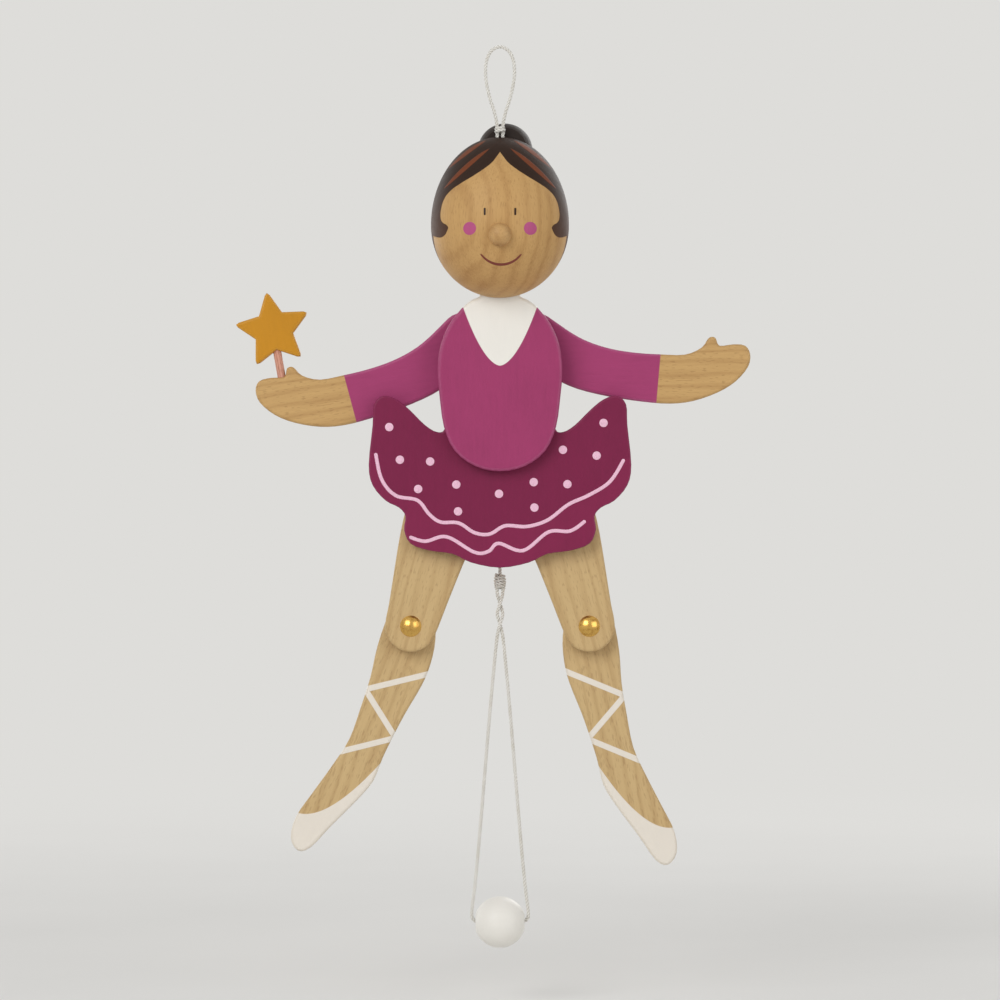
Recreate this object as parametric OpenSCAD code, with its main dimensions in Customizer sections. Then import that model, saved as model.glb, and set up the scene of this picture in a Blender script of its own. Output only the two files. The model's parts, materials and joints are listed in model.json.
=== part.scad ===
// Pull string jumping jack: a flat wooden ballerina that hangs from a cord loop.
// Millimetres, +Z up, the front faces -Y, and the origin is where a nail carries the hanging loop.

/* [Head] */
// Width of the turned head
head_width = 40; // [30:0.5:60]
// Height of the crown above the widest line
head_crown = 25.6; // [18:0.2:36]
// Height of the jaw below the widest line
head_jaw = 21; // [14:0.2:30]
// Diameter of the hair bun
bun_diameter = 16; // [10:0.5:24]
// How far the bun stands above the crown
bun_rise = 4.4; // [2:0.2:8]
// Depth of the bun behind the head's flat back
bun_depth = 13; // [8:0.5:20]
// How far the bun sits to the right of the middle
bun_shift = 1.5; // [-4:0.5:4]
// Diameter of the nose ball
nose_diameter = 6.6; // [4:0.2:10]
// Height of the nose above the chin
nose_height = 17; // [11:0.5:24]

/* [Torso] */
// Widest breadth of the torso plate
torso_width = 36.2; // [30:0.2:48]
// Height of the torso plate from the chin to its lower edge
torso_height = 50.2; // [42:0.2:64]
// Thickness of the torso plate
torso_thickness = 4; // [3:0.5:8]

/* [Tutu] */
// Widest breadth of the tutu plate
tutu_width = 76.4; // [60:0.2:100]
// Height of the tutu from its wing tips to its lower edge
tutu_height = 50; // [40:0.5:70]
// Depth of the wing tips below the chin
tutu_drop = 28.2; // [24:0.2:36]
// Thickness of the tutu plate
tutu_thickness = 3; // [2.5:0.5:6]

/* [Limbs] */
// Thickness of the arms, thighs and shins
limb_thickness = 4; // [3:0.5:8]
// Length of an arm from its pivot to the finger tips
arm_length = 61.6; // [50:0.2:80]
// Depth of the sleeve and hand below the shoulder pivot
arm_depth = 18.8; // [15:0.2:24]
// Length of a thigh between its two pivots
thigh_length = 56.4; // [48:0.2:72]
// Half width of a thigh
thigh_half_width = 10.5; // [8:0.1:14]
// Length of a shin from the knee pivot to the toes
shin_length = 73.4; // [60:0.2:95]
// Half width of a shin at the calf
shin_half_width = 9.2; // [7:0.2:12]
// Sideways reach of the pointed foot
foot_reach = 12.6; // [9:0.2:18]

/* [Pivots] */
// Distance of a shoulder pivot from the middle
shoulder_x = 11.5; // [10.5:0.1:14]
// Depth of the shoulder pivots below the chin
shoulder_drop = 11.5; // [10:0.1:14]
// Distance of a hip pivot from the middle
hip_x = 11; // [10.5:0.1:13]
// Depth of the hip pivots below the chin
hip_drop = 41; // [38:0.1:44]
// Distance of a cord hole from its limb's pivot
tail_reach = 7; // [6:0.1:7.5]
// Diameter of the cord holes in the limbs
cord_hole = 3; // [2.4:0.1:3.4]
// Wood left around a cord hole
tail_wall = 1.4; // [1:0.1:2]

/* [Pose at rest] */
// How far the left arm hangs below the right arm, in degrees
left_arm_drop = 10; // [0:1:20]
// Outward lean of both thighs, in degrees
thigh_lean = 15.5; // [13:0.5:20]
// Outward lean of the left shin, in degrees
left_shin_lean = 20; // [0:0.5:40]
// Outward lean of the right shin, in degrees
right_shin_lean = 11.5; // [0:0.5:40]

/* [Wand] */
// Radius of the star to its tips
star_radius = 11; // [8:0.5:16]
// Height of the star's centre above the finger line
star_height = 14; // [11:0.5:20]
// Thickness of the star
star_thickness = 4; // [3.4:0.2:6]
// Diameter of the wand's stick
stick_diameter = 2.4; // [1.6:0.2:3]
// Depth of the stick in the hand
stick_seat = 6; // [4:0.5:8]

/* [Rivets and washers] */
// Diameter of every rivet's shank
rivet_diameter = 3; // [2:0.1:4]
// Diameter of the flat heads under the torso plate
flat_head_diameter = 5.6; // [4.4:0.2:7]
// Thickness of the flat heads
flat_head_thickness = 1; // [0.6:0.1:1.4]
// Diameter of the domed heads on the knees
dome_diameter = 6.2; // [5:0.2:8]
// Height of the domed heads
dome_height = 1.5; // [1:0.1:1.7]
// Diameter of the burr that closes a rivet
burr_diameter = 4.6; // [4:0.2:6]
// Height of the burr
burr_height = 1; // [0.6:0.1:1.6]
// Diameter of every washer
washer_diameter = 7; // [6:0.1:7.4]
// Thickness of the spacers between the tutu and the limbs
spacer_thickness = 1.8; // [1.8:0.1:3]
// Thickness of the thin washers
washer_thickness = 0.5; // [0.4:0.1:1]

/* [Cords and bead] */
// Diameter of every cord
cord_diameter = 1; // [0.6:0.1:1.2]
// Depth of the crown below the loop's inner top
hang_drop = 25.4; // [22:0.2:30]
// Diameter of the pull bead
bead_diameter = 15; // [12:0.5:20]
// Diameter of the bead's bore
bead_bore = 2.4; // [2:0.1:3.6]
// Diameter of the bore's flared mouths
bead_mouth = 4.4; // [4:0.1:6]

/* [Fits] */
// Radial clearance of a limb on its rivet
bore_gap = 0.08; // [0.03:0.01:0.15]
// Radial clearance of a piece that is pressed or glued into a hole
seat_gap = 0.05; // [0.02:0.01:0.1]
// Side clearance of a turning limb
running_gap = 0.1; // [0.05:0.05:0.3]
// Gap between the thighs where they stop each other
stop_gap = 0.3; // [0.2:0.05:0.6]
// Width of the sanded edge of every plate
sanded_edge = 0.7; // [0.3:0.1:1]

/* [Hidden] */
$fn = 64;

// Spans of the smooth curve between two outline points
curve_steps = 3;
// Bands of the turned profiles
turned_steps = 36;
// Sides of a cord
cord_sides = 8;
// Overrun of every cut
overrun = 1;

// Heights of the chin, the pivots and the head
head_height = head_crown + head_jaw;
chin_z = -hang_drop - head_height;
shoulder_z = chin_z - shoulder_drop;
hip_z = chin_z - hip_drop;

// Layers from the front to the back, and the cord hole's place in the crown
hang_hole_inset = 2.4;
hang_hole_share = 1.4;
hang_hole_radius = hang_hole_share * cord_diameter;
hang_hole_depth = 8;
head_back = hang_hole_inset;
tutu_front = head_back + torso_thickness;
tutu_back = tutu_front + tutu_thickness;
limb_front = tutu_back + spacer_thickness + running_gap;
limb_back = limb_front + limb_thickness;
burr_front = limb_back + running_gap + washer_thickness;
shin_front = limb_back + running_gap + washer_thickness + running_gap;
shin_back = shin_front + limb_thickness;
knee_burr_front = shin_back + running_gap + washer_thickness;

// Radii that several pieces share
rivet_radius = rivet_diameter / 2;
limb_bore_radius = rivet_radius + bore_gap;
plate_bore_radius = rivet_radius + seat_gap;
head_recess_radius = flat_head_diameter / 2 + seat_gap;
stick_bore_radius = stick_diameter / 2 + seat_gap;
tail_tip_radius = cord_hole / 2 + tail_wall;
cord_radius = cord_diameter / 2;

// Rest angle of the cord tails above the level, the right arm's below the mean and the left's above
tail_rise = 30;
right_arm_tail = tail_rise - left_arm_drop / 2;
thigh_tail = tail_rise + thigh_lean;

// Depth of the face before the head's flat back at the nose, and the floor of the nose's seat
nose_level = nose_height - head_jaw;
face_depth = head_width / 2 * sqrt(1 - (nose_level / (nose_level > 0 ? head_crown : head_jaw)) ^ 2);
nose_sink_share = 0.35;
nose_seat_depth = face_depth - nose_sink_share * nose_diameter;

// Torso outline, right half from the neck tab down, in half widths and heights from the chin
torso_shares = [
    [0, 0.32], [0.2, 0.32], [0.3, 0.27], [0.3, 0.07], [0.33, 0.013], [0.44, -0.008], [0.55, -0.036],
    [0.66, -0.078], [0.81, -0.15],
    [0.95, -0.27], [1, -0.41], [0.97, -0.56], [0.9, -0.74], [0.73, -0.88], [0.4, -0.97], [0, -1]
];

// Tongue of the tutu plate behind the torso, right half, in tongue half widths and heights
tongue_wall = 4.2;
tongue_half = shoulder_x + tongue_wall;
tongue_top = -shoulder_drop + tongue_wall + flat_head_diameter / 2;
tongue_height = tongue_top + tutu_drop;
tongue_shares = [[0, 1], [0.55, 1], [0.86, 0.87], [1, 0.62], [1, 0.25], [0.96, -0.1]];

// Skirt of the tutu plate, right half from the notch at the waist, in half widths and heights
skirt_shares = [
    [0.42, -0.19], [0.48, -0.21], [0.57, -0.17], [0.69, -0.08], [0.79, -0.02], [0.89, 0],
    [0.96, -0.05], [0.97, -0.17], [1, -0.4], [0.97, -0.52], [0.87, -0.61], [0.77, -0.65], [0.72, -0.7],
    [0.73, -0.78], [0.68, -0.86], [0.54, -0.9], [0.36, -0.92], [0.22, -0.97], [0, -1]
];

// Arm outline from the shoulder over the hand and back, in arm lengths and depths from the pivot
arm_shares = [
    [-0.05, 0.4], [0.02, 0.385], [0.085, 0.25], [0.145, 0.115], [0.21, -0.005], [0.285, -0.1],
    [0.37, -0.17], [0.47, -0.215], [0.57, -0.235], [0.69, -0.24], [0.77, -0.13], [0.805, 0.02],
    [0.835, 0.02], [0.855, -0.1],
    [0.92, -0.08], [0.975, -0.1], [1, -0.23], [0.99, -0.43], [0.93, -0.66], [0.845, -0.83],
    [0.73, -0.96], [0.62, -1], [0.49, -0.97], [0.33, -0.89], [0.18, -0.77], [0.06, -0.6], [-0.06, -0.42]
];

// Thigh outline from the hip over the knee and back, in half widths and lengths from the hip pivot
thigh_shares = [
    [0.12, 0.11], [0.42, 0.06], [0.56, -0.03], [0.7, -0.13], [0.92, -0.26], [1, -0.38], [0.97, -0.55],
    [0.83, -0.79], [0.75, -0.92]
];
knee_turns = [0, -30, -62, -90, -118, -150, -180];
knee_share = 0.72;
crotch_shares = [[-0.77, -0.92], [-0.84, -0.79], [-1, -0.55], [-1.25, -0.36], [-1.46, -0.21], [-1.08, -0.06]];

// Shin outline from the knee over the foot and back, in half widths or foot reaches and lengths
shin_outer_shares = [[0, 0.1], [0.54, 0.076], [0.79, 0.01], [0.79, -0.12], [0.66, -0.25], [0.62, -0.38]];
foot_shares = [
    [0.45, -0.51], [0.6, -0.625], [0.83, -0.765], [1, -0.875], [0.95, -0.96], [0.69, -1], [0.43, -0.97],
    [0.16, -0.865], [-0.22, -0.725], [-0.41, -0.635], [-0.43, -0.54]
];
shin_inner_shares = [[-0.66, -0.45], [-0.78, -0.34], [-0.97, -0.21], [-1, -0.12], [-0.88, -0.02], [-0.54, 0.076]];

// Star: inner radius, and the blunt tips
star_inner_share = 0.53;
star_blunt_share = 0.94;
star_blunt_angle = 4;
star_tips = 5;

// Place of the wand on the hand, in arm lengths and depths
wand_foot_shares = [0.868, -0.1];

// Knots: radius and length of each kind
stop_knot_radius = 2.1;
stop_knot_length = 1.3;
tie_knot_radius = 1.9;
tie_knot_length = 3.4;
pull_knot_length = 5;
hang_knot_radius = 1.7;
hang_knot_length = 2.6;
knot_shares = [[0, -0.5], [0.7, -0.5], [1, -0.22], [0.86, 0], [1, 0.22], [0.7, 0.5], [0, 0.5]];

// Routes of the cords, point by point
hanging_loop_route = [
    [-0.8, 0, -32], [-0.8, 0, -28], [-0.8, 0, -25], [-0.9, 0, -22], [-1.6, 0, -18.5], [-2.9, 0, -14.5],
    [-3.9, 0, -10], [-4.2, 0, -6.5], [-3.8, 0, -3.2], [-2.4, 0, -0.6], [0, 0, 0.5], [2.4, 0, -0.6],
    [3.8, 0, -3.2], [4.2, 0, -6.5], [3.9, 0, -10], [2.9, 0, -14.5], [1.6, 0, -18.5], [0.9, 0, -22],
    [0.8, 0, -25], [0.8, 0, -28], [0.8, 0, -32]
];
arm_cord_route = [
    [-5.2, 10.4, -79.5], [-5.2, 13, -79.5], [-5.2, 15.6, -79.5], [-4.6, 17, -79.6], [-3.2, 17.6, -79.7],
    [0, 17.6, -80], [3.2, 17.6, -80.3], [4.6, 17, -80.4], [5.2, 15.6, -80.5], [5.2, 13, -80.5], [5.2, 10.4, -80.5]
];
leg_cord_route = [
    [-4.5, 10.4, -109.5], [-4.5, 13, -109.5], [-4.5, 15.6, -109.5], [-3.9, 17, -109.5], [-2.5, 17.6, -109.5],
    [0, 17.6, -109.5], [2.5, 17.6, -109.5], [3.9, 17, -109.5], [4.5, 15.6, -109.5], [4.5, 13, -109.5],
    [4.5, 10.4, -109.5]
];
pull_cord_route = [[0, 18.8, -79], [0, 18.8, -100], [0, 18.8, -125], [0, 18.8, -154]];
pull_loop_route = [
    [-0.8, 18.8, -155], [-0.8, 18.8, -158], [0, 19.6, -161], [0.8, 18.8, -164], [0, 17.9, -167],
    [-0.8, 18.5, -170.5], [-1.6, 18.2, -178], [-2.9, 17.6, -192], [-4.4, 16.8, -210], [-5.9, 15.6, -228],
    [-7.2, 14.4, -242], [-8, 14, -248.5], [-8.3, 14, -251.8], [-7.8, 14, -253.3], [-6.4, 14, -254],
    [-3.2, 14, -254], [0, 14, -254], [3.2, 14, -254], [6.4, 14, -254], [7.8, 14, -253.3],
    [8.3, 14, -251.8], [8, 14, -248.5], [7.2, 14.4, -242], [5.9, 15.6, -228], [4.4, 16.8, -210],
    [2.9, 17.6, -192], [1.6, 18.2, -178], [0.8, 18.5, -170.5], [0, 19.5, -167], [-0.8, 18.8, -164],
    [0, 18, -161], [0.8, 18.8, -158], [0.8, 18.8, -155]
];
stop_knot_y = 10.35;
tie_knot_y = 18.2;
pull_knot_z = -154.5;
hang_knot_z = -23.6;
bead_place = [0, 14, -254];
mouth_depth = 1.6;

// Unit vector along v
function unit(v) = v / norm(v);

// Point of a smooth curve between b and c, a share t of the way along
function curve_point(a, b, c, d, t) =
    (2 * b + (c - a) * t + (2 * a - 5 * b + 4 * c - d) * t * t + (3 * b - a - 3 * c + d) * t * t * t) / 2;

// Closed smooth outline through the given points
function closed_curve(points) =
    let(n = len(points))
    [
        for (i = [0 : n - 1], k = [0 : curve_steps - 1])
        curve_point(
            points[(i + n - 1) % n], points[i], points[(i + 1) % n], points[(i + 2) % n], k / curve_steps
        )
    ];

// Open smooth line through the given points, with a given number of steps a span
function open_curve(points, steps) =
    let(last = len(points) - 1)
    concat(
        [
            for (i = [0 : last - 1], k = [0 : steps - 1])
            curve_point(
                points[max(i - 1, 0)], points[i], points[i + 1], points[min(i + 2, last)], k / steps
            )
        ],
        [points[last]]
    );

// Shares turned into an outline of a given half width and height, lifted by rise
function scaled(shares, wide, tall, rise = 0) = [for (s = shares) [s[0] * wide, s[1] * tall + rise]];

// A right half outline closed with its mirror image
function both_sides(half) =
    concat(half, [for (i = [len(half) - 2 : -1 : 1]) [-half[i][0], half[i][1]]]);

// Clockwise outline drawn in by a depth
function drawn_in(points, depth) =
    let(n = len(points))
    [
        for (i = [0 : n - 1])
        let(along = unit(points[(i + 1) % n] - points[(i + n - 1) % n]))
        points[i] + depth * [along[1], -along[0]]
    ];

// Twice the area of the triangle a, b, c, below zero where it turns clockwise
function turning(a, b, c) = cross(b - a, c - a);

// Whether p lies in the clockwise triangle a, b, c
function covered(p, a, b, c) = max(turning(a, b, p), turning(b, c, p), turning(c, a, p)) <= 0;

// Whether a clockwise outline can lose its corner b, between a and c, as one triangle
function is_ear(points, ids, a, b, c) =
    turning(points[a], points[b], points[c]) < 0
    && len([
        for (k = ids)
        if (k != a && k != b && k != c && covered(points[k], points[a], points[b], points[c])) k
    ]) == 0;

// Place of the first corner, from start on, that the outline can lose
function ear_place(points, ids, start) =
    let(n = len(ids), i = start % n)
    is_ear(points, ids, ids[(i + n - 1) % n], ids[i], ids[(i + 1) % n])
    ? i
    : ear_place(points, ids, start + 1);

// Triangles that fill a clockwise outline, one corner cut off at a time
function filled(points, ids) =
    len(ids) == 3
    ? [ids]
    : let(n = len(ids), i = ear_place(points, ids, 1))
    concat(
        [[ids[(i + n - 1) % n], ids[i], ids[(i + 1) % n]]],
        filled(points, [for (k = [1 : n - 1]) ids[(i + k) % n]])
    );

// Points round the tip of a cord tail that leaves the pivot at an angle
function tail_tip(angle) =
    [
        for (turn = [75, 38, 0, -38, -75])
        tail_reach * [cos(angle), sin(angle)] + tail_tip_radius * [cos(angle + turn), sin(angle + turn)]
    ];

// Profile of the egg-shaped head, from the crown to the chin
function egg_profile() =
    [
        for (k = [0 : turned_steps])
        let(angle = 90 - 180 * k / turned_steps)
        [
            k == 0 || k == turned_steps ? 0 : head_width / 2 * cos(angle),
            (angle > 0 ? head_crown : head_jaw) * sin(angle)
        ]
    ];

// Plate with sanded edges in the XZ plane, from a clockwise outline
module sanded_plate(points, front, thickness) {
    n = len(points);
    inner = drawn_in(points, sanded_edge);
    rings = [
        [inner, front],
        [points, front + sanded_edge],
        [points, front + thickness - sanded_edge],
        [inner, front + thickness]
    ];
    corners = [for (ring = rings, p = ring[0]) [p[0], ring[1], p[1]]];
    sides = [
        for (k = [0 : len(rings) - 2], i = [0 : n - 1])
        let(j = (i + 1) % n)
        each [
            [k * n + i, (k + 1) * n + i, (k + 1) * n + j],
            [k * n + i, (k + 1) * n + j, k * n + j]
        ]
    ];
    front_cap = filled(inner, [for (i = [0 : n - 1]) i]);
    last_ring = (len(rings) - 1) * n;
    back_cap = [for (t = front_cap) [last_ring + t[2], last_ring + t[1], last_ring + t[0]]];
    polyhedron(corners, concat(front_cap, sides, back_cap));
}

// Round tube of a cord along a smooth line, with side as the direction across its plane
module cord(route, steps, side) {
    line = open_curve(route, steps);
    last = len(line) - 1;
    rings = [
        for (i = [0 : last])
        let(
            along = unit(line[min(i + 1, last)] - line[max(i - 1, 0)]),
            across = unit(cross(along, side)),
            over = cross(across, along)
        )
        each [
            for (k = [0 : cord_sides - 1])
            let(turn = 360 * k / cord_sides)
            line[i] + cord_radius * (cos(turn) * across + sin(turn) * over)
        ]
    ];
    walls = [
        for (i = [0 : last - 1], k = [0 : cord_sides - 1])
        let(m = (k + 1) % cord_sides, low = i * cord_sides, high = (i + 1) * cord_sides)
        each [[low + k, high + k, high + m], [low + k, high + m, low + m]]
    ];
    start_cap = [for (k = [0 : cord_sides - 1]) k];
    end_cap = [for (k = [cord_sides - 1 : -1 : 0]) last * cord_sides + k];
    polyhedron(rings, concat([start_cap], walls, [end_cap]));
}

// Cylinder along +Y from a given front
module along_y(radius, front, length) {
    translate([0, front, 0])
        rotate([-90, 0, 0])
            cylinder(r = radius, h = length);
}

// Bore along Y through a plate
module bore(radius, front, thickness) {
    along_y(radius, front - overrun, thickness + 2 * overrun);
}

// Turned ball with a flat front at the origin, as deep as given towards +Y
module flat_ball(diameter, depth) {
    radius = diameter / 2;
    start = asin((radius - depth) / radius);
    arc = [
        for (k = [0 : turned_steps - 1])
        let(angle = start + (90 - start) * k / turned_steps)
        [radius * cos(angle), depth - radius + radius * sin(angle)]
    ];
    rotate([-90, 0, 0])
        rotate_extrude()
            polygon(concat([[0, 0]], arc, [[0, depth]]));
}

// Waisted knot about the Z axis
module knot(radius, length) {
    rotate_extrude()
        polygon([for (s = knot_shares) [s[0] * radius, s[1] * length]]);
}

// Flat rivet from under the torso plate to its burr behind the limb
module flat_rivet() {
    shank_length = burr_front - tutu_front;
    along_y(flat_head_diameter / 2, tutu_front, flat_head_thickness);
    along_y(rivet_radius, tutu_front, shank_length);
    along_y(burr_diameter / 2, burr_front, burr_height);
}

// Domed rivet from the front of a knee to its burr behind the shin
module knee_rivet() {
    dome_radius = ((dome_diameter / 2) ^ 2 + dome_height ^ 2) / (2 * dome_height);
    intersection() {
        translate([0, limb_front - dome_height + dome_radius, 0])
            sphere(r = dome_radius);
        along_y(dome_diameter / 2, limb_front - dome_height, dome_height);
    }
    along_y(rivet_radius, limb_front, knee_burr_front - limb_front);
    along_y(burr_diameter / 2, knee_burr_front, burr_height);
}

// Washer round a rivet, from a given front
module washer(front, thickness) {
    difference() {
        along_y(washer_diameter / 2, front, thickness);
        bore(plate_bore_radius, front, thickness);
    }
}

// Children on the right, or mirrored on the left
module on_side(side) {
    if (side < 0)
        mirror([1, 0, 0])
            children();
    else
        children();
}

// Children at the shoulder pivot of a side, turned down by a drop
module at_shoulder(side, drop = 0) {
    on_side(side)
        translate([shoulder_x, 0, shoulder_z])
            rotate([0, drop, 0])
                children();
}

// Children at the hip pivot of a side, leaning outward
module at_hip(side, lean = 0) {
    on_side(side)
        translate([hip_x, 0, hip_z])
            rotate([0, -lean, 0])
                children();
}

// Children at the knee pivot of a side, leaning outward
module at_knee(side, lean = 0) {
    on_side(side)
        translate([hip_x + thigh_length * sin(thigh_lean), 0, hip_z - thigh_length * cos(thigh_lean)])
            rotate([0, -lean, 0])
                children();
}

// Right arm about its own pivot: a sleeve, a mitten hand and an inner cord tail
module arm_plate() {
    tail_angle = 180 - right_arm_tail;
    outline = concat(scaled(arm_shares, arm_length, arm_depth), tail_tip(tail_angle));
    difference() {
        sanded_plate(closed_curve(outline), limb_front, limb_thickness);
        bore(limb_bore_radius, limb_front, limb_thickness);
        translate(tail_reach * [cos(tail_angle), 0, sin(tail_angle)])
            bore(cord_hole / 2, limb_front, limb_thickness);
    }
}

// Foot of the wand on the arm, at the middle of its thickness
module at_wand() {
    middle = limb_front + limb_thickness / 2;
    translate([wand_foot_shares[0] * arm_length, middle, wand_foot_shares[1] * arm_depth])
        children();
}

// Right thigh about its hip pivot, with an inner cord tail
module thigh_plate() {
    tail_angle = 180 - thigh_tail;
    knee_end = [
        for (turn = knee_turns)
        [knee_share * thigh_half_width * cos(turn), knee_share * thigh_half_width * sin(turn) - thigh_length]
    ];
    outline = concat(
        scaled(thigh_shares, thigh_half_width, thigh_length),
        knee_end,
        scaled(crotch_shares, thigh_half_width, thigh_length),
        tail_tip(tail_angle)
    );
    difference() {
        sanded_plate(closed_curve(outline), limb_front, limb_thickness);
        bore(limb_bore_radius, limb_front, limb_thickness);
        translate([0, 0, -thigh_length])
            bore(plate_bore_radius, limb_front, limb_thickness);
        translate(tail_reach * [cos(tail_angle), 0, sin(tail_angle)])
            bore(cord_hole / 2, limb_front, limb_thickness);
    }
}

// Half of the space past the middle, where the other thigh stops this one
module stop_side() {
    reach = thigh_length + tail_reach;
    translate([-hip_x + stop_gap / 2 - reach, limb_front - overrun, -reach])
        cube([reach, limb_thickness + 2 * overrun, 2 * reach]);
}

// Right shin about its knee pivot, with a pointed foot
module shin_plate() {
    outline = concat(
        scaled(shin_outer_shares, shin_half_width, shin_length),
        scaled(foot_shares, foot_reach, shin_length),
        scaled(shin_inner_shares, shin_half_width, shin_length)
    );
    difference() {
        sanded_plate(closed_curve(outline), shin_front, limb_thickness);
        bore(limb_bore_radius, shin_front, limb_thickness);
    }
}

module head() {
    color("burlywood")
        translate([0, head_back, chin_z + head_jaw])
            difference() {
                rotate_extrude()
                    polygon(egg_profile());
                translate([-head_width, 0, -head_height])
                    cube([2 * head_width, head_width, 2 * head_height]);
                translate([0, -hang_hole_inset, head_crown - hang_hole_depth])
                    cylinder(r = hang_hole_radius, h = hang_hole_depth + overrun);
                translate([0, 0, nose_height - head_jaw])
                    along_y(nose_diameter / 2 + seat_gap, -head_width, head_width - nose_seat_depth);
            }
}

module nose() {
    color("tan")
        translate([0, head_back - nose_seat_depth, chin_z + nose_height])
            rotate([180, 0, 0])
                flat_ball(nose_diameter, nose_diameter / 2 + face_depth - nose_seat_depth);
}

module bun() {
    color("saddlebrown")
        translate([bun_shift, head_back, -hang_drop + bun_rise - bun_diameter / 2])
            flat_ball(bun_diameter, bun_depth);
}

module torso_plate() {
    outline = both_sides(scaled(torso_shares, torso_width / 2, torso_height));
    color("orchid")
        translate([0, 0, chin_z])
            sanded_plate(closed_curve(outline), head_back, torso_thickness);
}

module tutu_plate() {
    tongue = scaled(tongue_shares, tongue_half, tongue_height, -tutu_drop);
    skirt = scaled(skirt_shares, tutu_width / 2, tutu_height, -tutu_drop);
    color("mediumvioletred")
        difference() {
            translate([0, 0, chin_z])
                sanded_plate(closed_curve(both_sides(concat(tongue, skirt))), tutu_front, tutu_thickness);
            for (side = [-1, 1]) {
                at_shoulder(side)
                    rivet_seat();
                at_hip(side)
                    rivet_seat();
            }
        }
}

// Hole for a flat rivet with the recess that hides its head
module rivet_seat() {
    bore(plate_bore_radius, tutu_front, tutu_thickness);
    along_y(head_recess_radius, tutu_front - overrun, flat_head_thickness + overrun);
}

module left_arm() {
    color("orchid")
        at_shoulder(-1, left_arm_drop)
            difference() {
                arm_plate();
                at_wand()
                    translate([0, 0, -stick_seat])
                        cylinder(r = stick_bore_radius, h = stick_seat + arm_depth);
            }
}

module right_arm() {
    color("orchid")
        at_shoulder(1)
            arm_plate();
}

module thigh(side) {
    color("burlywood")
        difference() {
            at_hip(side, thigh_lean)
                thigh_plate();
            at_hip(side)
                stop_side();
        }
}

module left_thigh() {
    thigh(-1);
}

module right_thigh() {
    thigh(1);
}

module left_shin() {
    color("burlywood")
        at_knee(-1, left_shin_lean)
            shin_plate();
}

module right_shin() {
    color("burlywood")
        at_knee(1, right_shin_lean)
            shin_plate();
}

module shoulder_rivet(side) {
    color("goldenrod")
        at_shoulder(side)
            flat_rivet();
}

module left_shoulder_rivet() {
    shoulder_rivet(-1);
}

module right_shoulder_rivet() {
    shoulder_rivet(1);
}

module hip_rivet(side) {
    color("goldenrod")
        at_hip(side)
            flat_rivet();
}

module left_hip_rivet() {
    hip_rivet(-1);
}

module right_hip_rivet() {
    hip_rivet(1);
}

module left_knee_rivet() {
    color("goldenrod")
        at_knee(-1)
            knee_rivet();
}

module right_knee_rivet() {
    color("goldenrod")
        at_knee(1)
            knee_rivet();
}

module spacer_washers() {
    color("whitesmoke")
        for (side = [-1, 1]) {
            at_shoulder(side)
                washer(tutu_back, spacer_thickness);
            at_hip(side)
                washer(tutu_back, spacer_thickness);
        }
}

module back_washers() {
    color("whitesmoke")
        for (side = [-1, 1]) {
            at_shoulder(side)
                washer(burr_front - washer_thickness, washer_thickness);
            at_hip(side)
                washer(burr_front - washer_thickness, washer_thickness);
        }
}

module knee_washers(side) {
    color("whitesmoke")
        at_knee(side) {
            washer(limb_back, washer_thickness);
            washer(knee_burr_front - washer_thickness, washer_thickness);
        }
}

module left_knee_washers() {
    knee_washers(-1);
}

module right_knee_washers() {
    knee_washers(1);
}

module wand_stick() {
    color("rosybrown")
        at_shoulder(-1, left_arm_drop)
            at_wand()
                translate([0, 0, -stick_seat])
                    cylinder(d = stick_diameter, h = stick_seat + star_height);
}

module wand_star() {
    turns = [for (tip = [0 : star_tips - 1]) 90 - 360 * tip / star_tips];
    points = [
        for (turn = turns)
        each [
            star_radius * star_blunt_share * [cos(turn + star_blunt_angle), sin(turn + star_blunt_angle)],
            star_radius * [cos(turn), sin(turn)],
            star_radius * star_blunt_share * [cos(turn - star_blunt_angle), sin(turn - star_blunt_angle)],
            star_radius * star_inner_share * [cos(turn - 180 / star_tips), sin(turn - 180 / star_tips)]
        ]
    ];
    color("orange")
        at_shoulder(-1, left_arm_drop)
            at_wand()
                translate([0, 0, star_height])
                    difference() {
                        sanded_plate(points, -star_thickness / 2, star_thickness);
                        translate([0, 0, -star_radius])
                            cylinder(r = stick_bore_radius, h = star_radius);
                    }
}

module hanging_loop() {
    color("white")
        cord(hanging_loop_route, 2, [0, 1, 0]);
}

module hanging_knot() {
    color("white")
        translate([0, 0, hang_knot_z])
            knot(hang_knot_radius, hang_knot_length);
}

module arm_cord() {
    color("white")
        cord(arm_cord_route, 2, [0, 0, 1]);
}

module leg_cord() {
    color("white")
        cord(leg_cord_route, 2, [0, 0, 1]);
}

// Pair of flat stop knots before the cord holes that a cross cord ends in
module stop_knots(route) {
    for (end = [route[0], route[len(route) - 1]])
        translate([end[0], stop_knot_y, end[2]])
            rotate([-90, 0, 0])
                knot(stop_knot_radius, stop_knot_length);
}

module arm_stop_knots() {
    color("white")
        stop_knots(arm_cord_route);
}

module leg_stop_knots() {
    color("white")
        stop_knots(leg_cord_route);
}

// Knot that ties a cross cord to the pull cord, at the cross cord's middle
module tie_knot(route) {
    middle = route[floor(len(route) / 2)];
    translate([middle[0], tie_knot_y, middle[2]])
        knot(tie_knot_radius, tie_knot_length);
}

module arm_tie_knot() {
    color("white")
        tie_knot(arm_cord_route);
}

module leg_tie_knot() {
    color("white")
        tie_knot(leg_cord_route);
}

module pull_cord() {
    color("white")
        cord(pull_cord_route, 1, [0, 1, 0]);
}

module pull_knot() {
    color("white")
        translate([0, pull_loop_route[0][1], pull_knot_z])
            knot(tie_knot_radius, pull_knot_length);
}

module pull_loop() {
    color("white")
        cord(pull_loop_route, 2, [0, 1, 0]);
}

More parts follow.
